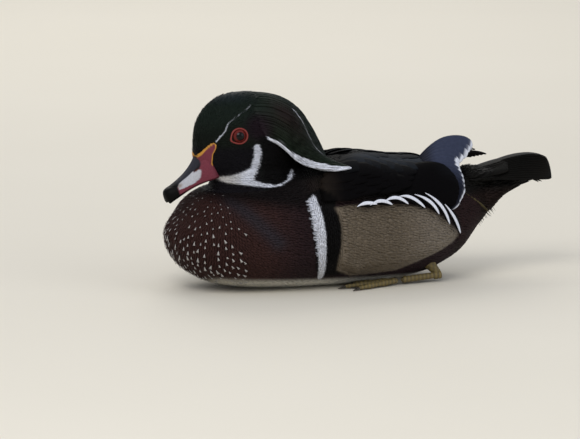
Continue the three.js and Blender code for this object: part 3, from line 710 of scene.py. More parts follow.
def tufts(roots, normals, flow, length, width, lift, jitter, sink, rows=3, shape=OVAL, crown=0.18):
    """Small feathers that lie along the flow, rooted a sink deep in the skin and lifted at their tips."""
    count = len(roots)
    flow = unit(flow - (flow * normals).sum(1, keepdims=True) * normals)
    side = np.cross(normals, flow)
    turn = draw.normal(0, jitter, count)[:, None]
    flow = unit(flow * np.cos(turn) + side * np.sin(turn))
    length = length * (1 + draw.uniform(-LENGTH_VARIETY, LENGTH_VARIETY, count))
    lift = lift * (1 + draw.uniform(-LIFT_VARIETY, LIFT_VARIETY, count))
    steps = np.linspace(0, 1, rows)
    out = -sink + (lift[:, None] + sink) * steps ** 0.75
    ahead = flow[:, None] * (length[:, None] * steps)[..., None]
    centres = roots[:, None] + ahead + normals[:, None] * out[..., None]
    halves = np.interp(steps, np.linspace(0, 1, len(shape)), shape) * (width / 2 * np.ones(count))[:, None]
    ridge = np.tile(crown * (width / 2) * np.ones(count), (rows, 1)).T
    ups = np.repeat(normals[:, None], rows, 1)
    return ribbons(centres, ups, halves, ridge)


# Each feather's patch on the map, as a share of the map, and the spacings of each coat's feathers, along
# and around the body in millimetres.
PATCH_SIZE = 0.003
HEAD_SPACING = (1.22, 1.12)
BODY_SPACING = (1.95, 2.05)
BAR_SPACING = (1.5, 1.75)
REAR_SPACING = (2.2, 2.3)
SPOT_SPACING = (6.2 * 0.8, 6.2)


def root_patch(shares, rows):
    """The place of each feather's own patch on an unwrap of the skin."""
    across = (np.linspace(-0.5, 0.5, 3) * PATCH_SIZE)[None, None, :, None] * [1, 0]
    along = (np.linspace(-0.5, 0.5, rows) * PATCH_SIZE)[None, :, None, None] * [0, 1]
    return (shares[:, None, None] + across + along).reshape(-1, 2)


STAGGER = 0.18


def lattice_on(loft, spacing_along, spacing_around):
    """Staggered places all over a loft, with their share along it and around it."""
    x = loft.along(np.linspace(0.002, 0.998, 1600))
    profile = [loft.surface(x, np.full_like(x, a)) for a in np.linspace(0, math.pi * 1.5, 4)]
    step = np.mean([np.linalg.norm(np.diff(p, axis=0), axis=1) for p in profile], axis=0)
    run = np.concatenate([[0], np.cumsum(step)])
    rows = np.interp(np.arange(0, run[-1], spacing_along), run, x)
    places, shares = [], []
    turn = np.linspace(0, 2 * math.pi, 361)
    for number, at in enumerate(rows):
        ring = loft.surface(np.full_like(turn, at), turn)
        around = np.concatenate([[0], np.cumsum(np.linalg.norm(np.diff(ring, axis=0), axis=1))])
        count = max(4, int(round(around[-1] / spacing_around)))
        marks = (np.arange(count) + 0.5 * (number % 2) + draw.uniform(-STAGGER, STAGGER, count)) / count % 1
        angle = np.interp(marks * around[-1], around, turn)
        ahead = at + draw.uniform(-STAGGER, STAGGER, count) * spacing_along
        places.append(loft.surface(np.clip(ahead, loft.first + 0.05, loft.last - 0.05), angle))
        along = np.full(count, (at - loft.first) / (loft.last - loft.first))
        shares.append(np.stack([along, angle / (2 * math.pi)], 1))
    return np.concatenate(places), np.concatenate(shares)


def snapped(points, reach):
    """The nearest places on the skin, its way out there, and which points lie within reach of it."""
    found = [skin_tree.find_nearest(tuple(p)) for p in points]
    near = np.array([tuple(f[0]) for f in found])
    out = np.array([tuple(f[1]) for f in found])
    gap = np.array([f[3] for f in found])
    return near, out, gap < reach


def body_flow(points):
    """The lie of the coat: down the front of the breast, then back along the body."""
    back = ramp(points[:, 0], 10, 72)
    return xyz(back + 0.02, 0, -(1 - 0.78 * back) - 0.02)


def head_flow(points):
    """The lie of the head's coat: away from the bill, then back and down to the crest."""
    from_bill = unit(points - [20, 0, 104])
    back = ramp(points[:, 0], 42, 84)[:, None]
    return from_bill * (1 - back) + np.array([0.85, 0, -0.52]) * back


# Keratin of feathers: soft on the body, silky on the head, finely barred on the flank, close vanes with
# barbs on wing and tail, and the matt down over the skin. Their gloss is low, as barbs scatter light.
body_feathers = feather_material("breast_feathers_soft", roughness=0.62, gloss=0.08, variety=0.16)
face_feathers = feather_material("head_feathers_silky", roughness=0.45, gloss=0.1, variety=0.14)
flank_plumage = feather_material(
    "flank_feathers_vermiculated", roughness=0.7, gloss=0.05, variety=0.06, bars=0.22,
)
flight_feathers = feather_material(
    "flight_feathers_glossy", roughness=0.6, gloss=0.02, variety=0.08, barbs=True,
)
tail_plumage = feather_material(
    "tail_feathers_dark", roughness=0.55, gloss=0.04, variety=0.08, barbs=True,
)
skin_finish = feather_material("down_over_skin", roughness=0.8, gloss=0.1, variety=0.1)

# The skin under the coat, one surface over breast, neck, head and rump.
mesh_object(
    "skin", skin_points, skin_faces, "breast_feathers", skin_finish, paint(skin_points),
    replaces=("torso", "neck", "head"),
)

# The bill along its edge from the gape to the nail, with rows of share along it, half width and height.
GAPE = np.array([36, 0, 88.0])
NAIL = np.array([-5.2, 0, 70.6])
BILL_AHEAD = NAIL - GAPE
BILL_LENGTH = np.linalg.norm(BILL_AHEAD)
BILL_UP = np.array([BILL_AHEAD[2], 0, -BILL_AHEAD[0]]) / BILL_LENGTH
UPPER_BILL = [
    [0, 7.5, 25], [0.06, 10.6, 23.7], [0.14, 11.6, 21.8], [0.3, 10, 16.2], [0.45, 8.6, 12.6],
    [0.62, 8, 10], [0.78, 7.8, 8.4], [0.9, 6.8, 7.9], [0.97, 4.8, 7], [1, 2.8, 5],
]
NAIL_DROP = 2.0
EDGE_ARCH = 2.3
# The horn's lobe on each side of the forehead, in its own two directions across and up the face.
LOBE = [
    (16, 102.6), (19.6, 103.7), (21.9, 105.5), (25, 109), (28.9, 112.5), (32.2, 114.4), (34.6, 112.5),
    (34.2, 108.9), (32, 104.5), (31.5, 97.8), (32.6, 92.3), (35, 88), (36, 83), (10, 83), (10, 102),
]


def lobe_share(points):
    """Distance inside the lobe's outline for points of the face."""
    flat = np.stack([0.94 * points[:, 0] + 0.342 * np.abs(points[:, 1]), points[:, 2]], 1)
    return inside_outline(flat, LOBE)


bill_width, bill_height = curve(UPPER_BILL, 1), curve(UPPER_BILL, 2)

# Eyes: place, size and the way they look.
EYE_X = 49.8
EYE_ANGLE = math.radians(13)
EYE_DEPTH = 3.5
EYE_RADIUS = 5.8
EYE_BED = skull.surface(np.array([EYE_X]), np.array([math.pi - EYE_ANGLE]))[0]
EYE_CENTRE = EYE_BED + [0, EYE_DEPTH, 0]
EYE_LOOK = unit(np.array([-0.2, -1, 0.1]))


def in_bill(points, spare):
    """Whether points of the face lie inside the bill, grown by a spare width."""
    own = points - GAPE
    along = own @ BILL_AHEAD / BILL_LENGTH ** 2
    height = own @ BILL_UP
    top = bill_height(np.clip(along, 0, 1)) + spare
    rise = np.clip(height / top, 0, 1)
    half = (bill_width(np.clip(along, 0, 1)) + spare) * (1 - rise ** 2) ** 0.375
    return (along > -0.03) & (height > -1.5 - spare) & (height < top) & (np.abs(points[:, 1]) < half)


def lay_coat(name, slot, material, ground, pick, size, rows=3, colour=None, replaces=(), **lie):
    """One piece of coat on the picked places of a ground; size is its feathers' length, width and lift."""
    near, out, flow, shares = (part[pick] for part in ground)
    points, faces, smooth = tufts(near, out, flow, *size, rows=rows, **lie)
    colours = paint(points) if colour is None else np.tile(colour, (len(points), 1))
    mesh_object(name, points, faces, slot, material, colours, root_patch(shares, rows), smooth, replaces)


# Coat of the head: the smallest feathers, densest round the bill and the eyes.
def head_coat():
    roots, shares = lattice_on(skull, *HEAD_SPACING)
    near, out, kept = snapped(turned(roots), reach=2.6)
    own = turned(near, -1)
    ground = (near, out, turned_way(head_flow(own)), shares)
    eye_gap = np.linalg.norm((mirrored(own) - EYE_BED) * [1, 0.6, 1], axis=1)
    kept &= ~in_bill(own, -0.3) & (eye_gap > 6.0) & ~((lobe_share(own) > 0.1) & (own[:, 0] < 40))
    small = 0.72 + 0.28 * ramp(own[:, 0], 30, 52)
    small = np.minimum(small, 0.6 + 0.4 * ramp(eye_gap, 6, 12))
    long = small * (1 + 0.7 * ramp(own[:, 2], 118, 132))
    lift = 0.45 * small + 1.1 * ramp(own[:, 2], 136, 145) * ramp(own[:, 0], 45, 62)
    for side, name in SIDES:
        pick = kept & ((near[:, 1] > 0) == (side > 0))
        size = (3.3 * long[pick], 1.3 * small[pick], lift[pick])
        lay_coat(
            f"head_coat_{name}", "head_feathers", face_feathers, ground, pick, size, jitter=0.08, sink=0.2,
        )


def neck_coat():
    rows = np.arange(66, 100, 1.7)
    roots, shares = [], []
    for number, z in enumerate(rows):
        count = 150 if z < 90 else 120
        marks = np.arange(count) + 0.5 * (number % 2) + draw.uniform(-0.2, 0.2, count)
        angle = marks / count * 2 * math.pi
        roots.append(turned(neck_surface(np.full(count, z), angle)))
        shares.append(np.stack([angle / (2 * math.pi), np.full(count, number / len(rows))], 1))
    near, out, kept = snapped(np.concatenate(roots), reach=3)
    kept &= ~in_bill(turned(near, -1), 0)
    ground = (near, out, np.tile([0.75, 0, -0.5], (len(near), 1)), np.concatenate(shares))
    lay_coat(
        "neck_coat", "head_feathers", face_feathers, ground, kept, (4.2, 1.7, 0.6), jitter=0.1, sink=0.2,
    )


def body_coat():
    """The coat of breast, belly and flank, with room for the bars, and for the wing over the back."""
    roots, shares = lattice_on(torso, *BODY_SPACING)
    clear = (roots[:, 0] < 95) | (roots[:, 0] > 117) | (roots[:, 2] < 8)
    near, out, kept = snapped(reshaped(roots[clear]), reach=4)
    ground = (near, out, body_flow(near), shares[clear])
    x, y, z = near.T
    kept &= (z > 1) & ~((x > 158) & (z > 74) & (x < 205))
    flank = inside_outline(near[:, [0, 2]], FLANK_PANEL) > 0.5
    for side, name in SIDES:
        for part, select, slot, material, long, broad, lift, crown, replaces in (
            ("body", ~flank, "breast_feathers", body_feathers, 5.8, 0.5, 0.5, 0.1, ()),
            ("flank", flank, "flank_feathers", flank_plumage, 7.2, 0.55, 0.09, 0.06, (f"flank_{name}",)),
        ):
            pick = kept & select & (y * side >= 0)
            length = long * (0.72 + 0.28 * ramp(x[pick], 12, 90))
            lay_coat(
                f"{part}_coat_{name}", slot, material, ground, pick, (length, broad * length, lift),
                replaces=replaces, jitter=0.07, sink=0.3, shape=(0.7, 1.0, 0.3), crown=crown,
            )


def bar_flow(points):
    """The bars' long feathers hang down and back, so that their edges run along the bar."""
    return body_flow(points) * [0.14, 1, 1] + [0, 0, -0.9]


def bar_coat():
    """Finer feathers where the white and black bars need clean edges."""
    roots, shares = lattice_on(torso, *BAR_SPACING)
    zone = (roots[:, 0] > 91) & (roots[:, 0] < 119) & (roots[:, 2] > 6)
    near, out, kept = snapped(reshaped(roots[zone]), reach=4)
    ground = (near, out, bar_flow(near), shares[zone])
    for side, name in SIDES:
        lay_coat(
            f"bar_coat_{name}", "breast_feathers", body_feathers, ground, kept & (near[:, 1] * side >= 0),
            (4.6, 2.2, 0.16), rows=4, jitter=0.05, sink=0.2, shape=(0.7, 1.0, 0.9, 0.3), crown=0.04,
        )


def breast_spots():
    """The white tips of single feathers, smaller and fewer toward the neck and the belly."""
    roots, shares = lattice_on(torso, *SPOT_SPACING)
    near, out, kept = snapped(reshaped(roots), reach=4)
    x, _, z = near.T
    edge = 45 - 0.26 * (z - 30) + draw.normal(0, 3, len(x))
    missing = 0.1 + 0.25 * ramp(z, 40, 72) + 0.5 * ramp(z, 16, 8)
    kept &= (x < edge) & (z > 5) & (z < 74) & (draw.random(len(x)) > missing)
    size = (0.55 + 0.58 * ramp(z[kept], 70, 30)) * draw.uniform(0.7, 1.2, kept.sum())
    lay_coat(
        "breast_spots", "breast_feathers", body_feathers, (near, out, body_flow(near), shares), kept,
        (2.6 * size, 2.1 * size, 1.2), colour=SPOT, jitter=0.15, sink=-0.7, shape=(0.12, 0.55, 1.0),
    )


head_coat()
neck_coat()
body_coat()
bar_coat()
breast_spots()

# Crest: long silky feathers laid between guide lines from the crown to their tips, left side.
CREST_GUIDES = [
    [(62, 0, 149.8), (72, 0, 149.3), (82, 0, 147.3), (92, 0, 143.9), (101, 0, 138.5), (109, 0, 130.8),
     (116, 0, 120.5), (121.5, 0, 110.5), (127.5, -0.5, 98)],
    [(62, -9, 147.5), (76, -9, 146), (88, -9, 141.5), (97.5, -9.5, 135.5), (103.5, -10.5, 128),
     (107.5, -11.5, 119.5), (113, -13, 107.9), (119, -13.5, 101), (127, -14, 94.3)],
    [(64, -18, 136), (76, -18.9, 134), (86, -19.6, 129), (95, -20.3, 122.5), (102, -20.8, 115.5),
     (108, -21, 109), (114, -21.5, 103), (121, -24, 98.7), (129.8, -28.5, 94.5)],
    [(72, -19.5, 115.2), (80, -20.2, 111.6), (88, -21, 105.4), (95, -22, 98.4), (101, -23, 94.2),
     (108, -24, 91.6), (114.6, -29, 90.7), (123.4, -35.5, 91), (135, -38.2, 92.2)],
]
CREST_ROWS = 24
CREST_IN_ROW = 58
CREST_BENDS = 8
# Width of a crest feather, its ridge as a share of half of that, and its reach along the crest.
CREST_FEATHER = 2.3
CREST_RIDGE = 0.22
CREST_REACH = 0.36


def crest_surface(v, t):
    """Places on the crest's outer surface: v from its top line to its lower edge, t from root to tip."""
    marks = np.linspace(0, 1, len(CREST_GUIDES[0]))
    lines = []
    for guide in CREST_GUIDES:
        rows = np.column_stack([marks, turned(np.array(guide, float), -1)])
        lines.append(np.stack([curve(rows, column)(t) for column in (1, 2, 3)], -1))
    nodes = np.linspace(0, 1, len(lines))
    place = 0
    for i, line in enumerate(lines):
        weight = np.ones_like(v)
        for j in range(len(lines)):
            if j != i:
                weight = weight * (v - nodes[j]) / (nodes[i] - nodes[j])
        place = place + weight[..., None] * line
    return place


def paint_crest(v, t, fore):
    """Colours of the crest, with its two white lines, out of the colours before its roots."""
    upper = np.interp(t, [0, 0.34, 0.4, 0.6, 0.85, 1.02], [0, 0, 0.01, 0.025, 0.035, 0.03])
    lower = np.interp(t, [0, 0.1, 0.35, 0.55, 0.75, 1.02], [0.018, 0.026, 0.046, 0.08, 0.085, 0.06])
    maroon = np.exp(-((v - 0.55) / 0.22) ** 2 - ((t - 0.3) / 0.25) ** 2)
    colour = mix(CREST_GREEN, CREST_MAROON, maroon * 0.8)
    colour = mix(colour, CROWN_GREEN, ramp(v, 0.3, 0.05) * 0.8)
    lines = (np.abs(v - 1 / 3) < upper) | (v > 1 - lower)
    return mix(fore, mix(colour, WHITE, lines.astype(float)), ramp(t, 0.02, 0.25))


def crest_coat():
    count = CREST_ROWS * CREST_IN_ROW
    t0 = np.repeat(np.linspace(-0.02, 0.84, CREST_ROWS), CREST_IN_ROW)
    t0 = np.maximum(0, t0 + draw.uniform(-0.03, 0.03, count))
    v = np.tile((np.arange(CREST_IN_ROW) + 0.5) / CREST_IN_ROW, CREST_ROWS)
    v = np.clip(v + draw.uniform(-0.5, 0.5, count) / CREST_IN_ROW, 0.002, 0.998)
    reach = np.where(t0 > 0.6, 1 - t0 + draw.normal(0, 0.012, count), CREST_REACH)
    steps = np.linspace(0, 1, CREST_BENDS)
    t = np.clip(t0[:, None] + reach[:, None] * steps, 0, 1.02)
    spread = np.repeat(v[:, None], CREST_BENDS, 1)
    place = crest_surface(spread, t)
    ahead = crest_surface(spread, np.minimum(t + 0.01, 1.03)) - place
    over = crest_surface(spread + 0.01, t) - place
    out = unit(np.cross(over, ahead))
    layer = draw.uniform(-0.5, 0.25, count)
    lift = np.linspace(-1.5, 0.15, CREST_BENDS) + layer[:, None] * 0.45
    centres = place + out * lift[..., None]
    near, away, _ = snapped(turned(centres).reshape(-1, 3), reach=1)
    clearance = (0.3 + 1.2 * ramp(spread, 0.5, 0.1)).reshape(-1, 1)
    hugging = turned(near + away * clearance, -1).reshape(centres.shape)
    joined = ramp(t, -0.02, 0.17)
    centres = mix(hugging, centres, joined) + out * (layer[:, None] * 0.3 * (1 - joined))[..., None]
    fore = paint(turned(hugging.reshape(-1, 3))).reshape(centres.shape)
    colour = paint_crest(spread, t, fore)
    tone = draw.uniform(0.85, 1.15, count)[:, None, None]
    colour = colour * np.where(colour.mean(-1, keepdims=True) > 0.2, 1, tone)
    colours = np.repeat(colour[:, :, None], 3, 2).reshape(-1, 3)
    width = CREST_FEATHER * np.interp(steps, [0, 0.3, 0.75, 1], [0.6, 1, 0.85, 0.18])
    halves = np.tile(width / 2, (count, 1))
    bake = root_patch(np.stack([v, t0], 1) * 0.9 + 0.05, CREST_BENDS)
    for side, name in SIDES:
        flip = np.array([1, -side, 1])
        middle, outward = turned(centres * flip), turned_way(out * flip)
        points, faces, smooth = ribbons(middle, outward, halves, halves * CREST_RIDGE)
        mesh_object(
            f"crest_{name}", points, faces, "head_feathers", face_feathers, colours, bake, smooth,
            replaces=("crest",) if side < 0 else (),
        )


crest_coat()


# Long feathers of wing, flank and tail: blades with a shaft line, a cambered vane and a rounded tip.
def on_side(x, degrees, lift):
    """Places on the left side of the body, degrees above its widest line."""
    x, degrees, lift = np.broadcast_arrays(np.asarray(x, float), degrees, lift)
    return reshaped(torso.surface(x, math.pi - np.radians(degrees), lift))


def out_from_side(x, degrees):
    ahead = on_side(x + 2, degrees, 0) - on_side(x - 2, degrees, 0)
    over = on_side(x, np.asarray(degrees) + 2, 0) - on_side(x, np.asarray(degrees) - 2, 0)
    return unit(np.cross(ahead, over))


BLADE_ROWS = 16
BLADE_COLUMNS = 7
BARB_SLOPE = 0.9


def blade_set(start, bend, stop, up, up_tip, width, thick, rounding, blunt=0.1, tilt=0.0, camber=0.12,
              base=0.55, rows=BLADE_ROWS, columns=BLADE_COLUMNS):
    """Blades along bent lines: points, faces, smooth flags, and points' t, across, number and barb."""
    count = len(start)
    t = 1 - (1 - np.linspace(0, 1, rows)) ** 1.35
    at = t[None, :, None]
    centres = (1 - at) ** 2 * start[:, None] + 2 * at * (1 - at) * bend[:, None] + at ** 2 * stop[:, None]
    normals = unit(up[:, None] * (1 - at) + up_tip[:, None] * at)
    side = unit(np.cross(normals, unit(np.gradient(centres, axis=1))))
    tilt = np.broadcast_to(np.asarray(tilt, float), (count,))[:, None, None]
    normals = unit(normals * np.cos(tilt) + side * np.sin(tilt))
    swell = base + (1 - base) * np.minimum(1, t * 2.2)
    taper = np.sqrt(np.maximum(0, 1 - (np.maximum(0, t - (1 - rounding)) / rounding) ** 2))
    profile = swell * (blunt + (1 - blunt) * taper)
    width = np.broadcast_to(np.asarray(width, float), (count,))
    halves = width[:, None] / 2 * profile
    ridge = np.full((count, rows), thick)
    points, faces, smooth = ribbons(centres, normals, halves, ridge, columns, camber)
    grid = (count, rows, columns)
    across = np.broadcast_to(np.linspace(-1, 1, columns), grid)
    along = np.broadcast_to(at, grid)
    number = np.broadcast_to(np.arange(count)[:, None, None], grid)
    length = np.linalg.norm(np.diff(centres, axis=1), axis=2).sum(1)
    barb = length[:, None, None] * along - BARB_SLOPE * np.abs(across) * halves[..., None]
    both = (np.tile(values.reshape(count, -1), 2).ravel() for values in (along, across, number, barb))
    return points, faces, smooth, *both


def atlas(number, t, c, count):
    """Each long feather has a strip of its own on the map."""
    columns = int(math.ceil(math.sqrt(count * 2.5)))
    rows = int(math.ceil(count / columns))
    u = (number % columns + 0.5 + c * 0.42) / columns
    v = (number // columns + 0.06 + t * 0.88) / rows
    return np.stack([u, v], 1)


def joined_blades(sets, side=-1):
    """Sets of blades, each with its colouring and its shift on the far side, as one piece's parts."""
    total = sum(int(blades[5].max()) + 1 for blades, _, _ in sets)
    parts = []
    offset = first = 0
    for (points, faces, smooth, t, c, number, barb), colouring, right_shift in sets:
        parts.append((
            (points + right_shift * (side > 0)) * [1, -side, 1],
            (faces if side < 0 else faces[:, ::-1]) + offset,
            colouring(t, c, number, points), atlas(number + first, t, c, total), smooth, barb,
        ))
        offset += len(points)
        first += int(number.max()) + 1
    return [np.concatenate(part) for part in zip(*parts)]


def feathered(name, sets, slot, material, node=None):
    """The same blades on both sides of the bird."""
    for side, word in SIDES:
        points, faces, colours, bake, smooth, barb = joined_blades(sets, side)
        replaces = (f"{node}_{word}",) if node else ()
        mesh_object(f"{name}_{word}", points, faces, slot, material, colours, bake, smooth, replaces, barb)


SCAPULAR_ROWS = 6
SCAPULARS_IN_ROW = 7


def scapulars():
    """The shoulder's feathers, in rows from the flank's top edge to the middle of the back."""
    x, height, rise = [], [], []
    for row in range(SCAPULAR_ROWS):
        share = row / (SCAPULAR_ROWS - 1)
        for i in range(SCAPULARS_IN_ROW):
            angle = 41 + 44 * (i + 0.5 * (row % 2)) / SCAPULARS_IN_ROW
            further = 0.35 * (angle - 41) if angle < 55 else 4.9 + 0.95 * (angle - 55)
            x.append(106 + 40 * share + further)
            height.append(angle)
            rise.append(0.35 + 0.65 * share)
    x = np.array(x) + draw.uniform(-1.2, 1.2, len(x))
    height = np.array(height) + draw.uniform(-0.8, 0.8, len(x))
    long = np.minimum(36 + draw.uniform(-2, 2, len(x)), 200 - x)
    ridge = ramp(height, 58, 76)
    rise = np.array(rise)
    start = on_side(x, height, -0.5 + rise)
    stop = on_side(x + long, height - 2, 3.5 + 2.4 * rise - 1.6 * ridge * rise)
    middle = on_side(x + long / 2, height - 1, 3.6 + 1.4 * rise - 1.2 * ridge * rise)
    blades = blade_set(
        start, 2 * middle - (start + stop) / 2, stop, out_from_side(x, height),
        out_from_side(x + long, height - 2), 15.5, thick=0.2, tilt=math.radians(2.5), rounding=0.5,
        blunt=0.05, camber=0.06,
    )

    def colouring(t, c, number, points):
        at = height[number]
        # Painted sheen: a lighter blue-grey band along the upper scapulars, where light catches them.
        gloss = np.exp(-((at - 72) / 9) ** 2) * ramp(x[number], 108, 125)
        colour = mix(BACK, BACK_PAINTED_SHEEN, 0.9 * gloss * ramp(t, 0.2, 0.7))
        colour = mix(colour, TERTIAL, ramp(at, 62, 54))
        colour = mix(colour, BLACK, 0.4 * ramp(np.abs(c), 0.8, 1))
        return mix(paint_body(points), colour, np.maximum(ramp(t, 0, 0.5), ramp(x[number], 112, 130)))

    return blades, colouring, 0


def tertials():
    u = np.linspace(0, 1, 7)
    start = on_side(166 + 12 * u, 38 + 22 * u, 3.4)
    stop = xyz(217 + 6 * np.sin(u * math.pi * 0.8), -44.6 + 15 * u, 61 + 20 * u)
    bend = on_side(204, 36 + 21 * u, 6.4 + 3.1 * u)
    blades = blade_set(
        start, bend, stop, out_from_side(180 + 0 * u, 38 + 20 * u), xyz(0.35, -1, 0.25 + 0.45 * u), 15.5,
        thick=0.25, tilt=math.radians(3), rounding=0.4, camber=0.08,
    )

    def colouring(t, c, number, points):
        # Painted sheen: the upper tertials turn a little lighter toward their tips.
        colour = mix(TERTIAL, BACK_PAINTED_SHEEN, 0.15 * ramp(t, 0.5, 0.95) * ramp(number, 3, 6))
        return mix(colour, BLACK, 0.6 * ramp(np.abs(c), 0.7, 1))

    return blades, colouring, 0


# The far wing's hump lies further on, so that it stays behind the near one as in the photograph.
FAR_HUMP_SHIFT = np.array([5.0, 3.0, -6.0])


def secondaries():
    """The raised blue-grey hump, its feathers tipped with white."""
    u = np.linspace(0, 1, 15)
    start = on_side(201 - 9.5 * u, 80 - 40 * u, 1.8)
    back = np.interp(u, [0, 0.15, 0.3, 0.45, 0.6, 0.8, 1], [244, 238, 228, 227, 229, 227.5, 219])
    stop = xyz(back, -9 - 32.5 * u, 99.3 - 41.3 * u)
    bend = xyz(222.5 - 9.5 * u, -11 - 30 * u, 110.8 - 43.3 * u)
    blades = blade_set(
        start, bend, stop, xyz(-0.35, -0.75 - 0.25 * u, 0.8 - 0.6 * u), xyz(0.1, -1, 0.35 - 0.2 * u), 11.5,
        thick=0.2, tilt=math.radians(4), rounding=0.2, blunt=0.3,
    )

    def colouring(t, c, number, points):
        colour = mix(HUMP_BLUE, HUMP_DARK, ramp(c, -0.1, -0.9) * 0.7)
        colour = mix(colour, HUMP_DARK, ramp(t, 0.35, 0.1))
        colour = mix(colour, BLACK, 0.75 * ramp(number, 6, 12))
        edge = 0.965 - 0.15 * np.exp(-((number - 5.5) / 2.4) ** 2)
        return mix(colour, WHITE, ramp(t, edge - 0.035, edge))

    return blades, colouring, FAR_HUMP_SHIFT


def primaries():
    u = np.linspace(0, 1, 5)
    start = on_side(205 + 0 * u, 80, 1)
    stop = xyz(254.5 - 12 * u, -12, 93.2 - 1.5 * u)
    bend = xyz(238 - 8 * u, -11, 99 - 3 * u)
    up = xyz(0 * u, -0.5, 1.0)
    blades = blade_set(start, bend, stop, up, up, 5.5, thick=0.35, rounding=0.7, blunt=0.03)

    def colouring(t, c, number, points):
        return mix(PRIMARY, BLACK, ramp(t, 0.1, 0.5))

    return blades, colouring, 0


# White, black-edged plumes along the top of the flank: each by three places on the side, x and degrees.
PLUME_ARCS = [
    [(131.8, 25.4), (138.9, 26.8), (147.5, 25.0)], [(142.6, 25.0), (151.2, 27.0), (160.2, 23.4)],
    [(154.6, 26.2), (164.3, 28.4), (174.0, 23.0)], [(168.0, 29.0), (177.7, 27.6), (188.2, 19.4)],
    [(181.8, 29.4), (193.0, 23.8), (200.1, 13.8)], [(191.2, 29.8), (202.4, 20.2), (209.5, 5.4)],
    [(206.9, 19.8), (214.3, 9.4), (219.9, -4.2)],
]
PLUME_LIFT = 6.8


def flank_plumes():
    sets = []
    for width, lift, colour in ((6.6, 0.0, BLACK), (3.1, 0.45, WHITE)):
        places = np.array([[on_side(x, a, PLUME_LIFT + lift) for x, a in arc] for arc in PLUME_ARCS])
        start, middle, stop = places[:, 0], places[:, 1], places[:, 2]
        start = start + (start - middle) * 0.12
        up, tip = (np.array([out_from_side(*arc[end]) for arc in PLUME_ARCS]) for end in (0, 2))
        blades = blade_set(
            start, 2 * middle - (start + stop) / 2, stop, up, tip, width, thick=0.3, rounding=0.6,
            blunt=0.06, base=0.15,
        )
        sets.append((blades, lambda t, c, number, points, colour=colour: np.tile(colour, (len(t), 1)), 0))
    return sets


wing_sets = [scapulars(), tertials(), secondaries(), primaries()]
feathered("wing_feathers", wing_sets, "wing_feathers", flight_feathers, "wing")
feathered("flank_plumes", flank_plumes(), "flank_feathers", flank_plumage)


# Tail: long dark feathers in a roof, coverts over and under them, and the rump.
TAIL_FEATHERS = 26
TAIL_COVERTS = 13


def tail_blades():
    """The long feathers, then the coverts over their roots."""
    sets = []
    for count in (TAIL_FEATHERS, TAIL_COVERTS):
        u = (np.arange(count) + 0.5) / count * 2 - 1
        wide = np.abs(u)
        if count == TAIL_FEATHERS:
            start = xyz(246, 10 * u, 78 - 3 * wide)
            bend = xyz(291 - 9 * wide, 22 * u, 96.5 - 21 * wide ** 1.5)
            stop = xyz(307.5 - 4.5 * wide ** 2, 24 * u, 86.5 - 11 * wide ** 1.2)
            width, rounding, blunt = 11, 0.14, 0.55
        else:
            start = xyz(234, 8 * u, 76 - 2 * wide)
            bend = xyz(258, 15 * u, 84.6 - 5 * wide ** 1.5)
            stop = xyz(276 - 5 * wide, 17 * u, 87.6 - 7 * wide ** 1.5)
            width, rounding, blunt = 9.5, 0.35, 0.1
        blades = blade_set(
            start, bend, stop, xyz(0 * u, 0.6 * u, 1), xyz(0.3, 0.75 * u, 1), width, thick=0.2,
            tilt=np.where(u < 0, 0.05, -0.05), rounding=rounding, blunt=blunt, camber=0.08,
        )

        def colouring(t, c, number, points):
            return mix(TAIL, TAIL_EDGE, 0.5 * ramp(np.abs(c), 0.8, 1) * ramp(t, 0.5, 1))

        sets.append((blades, colouring, 0))
    return sets


def tail():
    points, faces, colours, bake, smooth, barb = joined_blades(tail_blades())
    mesh_object(
        "tail_feathers", points, faces, "tail_feathers", tail_plumage, colours, bake, smooth,
        replaces=("tail",), barb=barb,
    )


def rear_coat():
    for name, loft, long, replaces in (
        ("undertail_coat", undertail, 10, ("undertail",)), ("rump_coat", rump, 8, ()),
    ):
        roots, shares = lattice_on(loft, *REAR_SPACING)
        near, out, kept = snapped(roots, reach=3.5)
        flow = np.tile([1, 0, 0.25], (len(near), 1))
        lay_coat(
            name, "dark_feathers", body_feathers, (near, out, flow, shares), kept, (long, 3.4, 0.7), rows=4,
            replaces=replaces, jitter=0.08, sink=0.3, shape=(0.7, 1.0, 0.8, 0.2), crown=0.1,
        )


OLIVE_PLUMES = 3
VENT_HAIRS = 26
HAIR_ROWS = 8


def vent_fringe():
    """Hair-like plumes that trail from the sides of the vent: a few long olive ones and many black."""
    for side, name in SIDES:
        arcs = []
        for i in range(OLIVE_PLUMES):
            x, y = 3 * i, -27.5 + i
            bend, stop = (240 + x, y, 62 - 2 * i), (250 + x, y + 6.5, 51 - 2 * i)
            arcs.append([(228 + x, y, 68 - 1.5 * i), bend, stop])
        for hair in range(VENT_HAIRS):
            share = hair / (VENT_HAIRS - 1)
            x, z = 257 - 10 * share, 57 - 13 * share
            bend = (x, -15 + 4 * share + draw.normal(0, 0.6), z)
            tip_x, tip_y, tip_z = (draw.normal(0, spread) for spread in (1.0, 1, 1.2))
            stop = (x + 5 + tip_x, -12 + 4 * share + tip_y, z - 6 + tip_z)
            arcs.append([(x - 9, -17 + 3 * share, z + 4), bend, stop])
        starts, bends, stops = np.array(arcs, float).transpose(1, 0, 2)
        count = len(arcs)
        olive = np.arange(count) < OLIVE_PLUMES
        up = np.tile([0.3, -1.0, 0.2], (count, 1))
        points, faces, smooth, *_ = blade_set(
            starts, bends, stops, up, up, np.where(olive, 1.0, 0.5), thick=0.15, rounding=0.8, camber=0.1,
            base=0.6, rows=HAIR_ROWS, columns=3,
        )
        each = HAIR_ROWS * 3
        colours = np.where(np.repeat(olive, each)[:, None], OLIVE * 0.7, BLACK)
        t = np.tile(np.repeat(np.linspace(0, 1, HAIR_ROWS), 3), count)
        bake = atlas(np.repeat(np.arange(count), each), t, np.tile([-1, 0, 1], count * HAIR_ROWS), count)
        mesh_object(
            f"vent_fringe_{name}", points * [1, -side, 1], faces if side < 0 else faces[:, ::-1],
            "dark_feathers", body_feathers, colours, bake, smooth,
        )


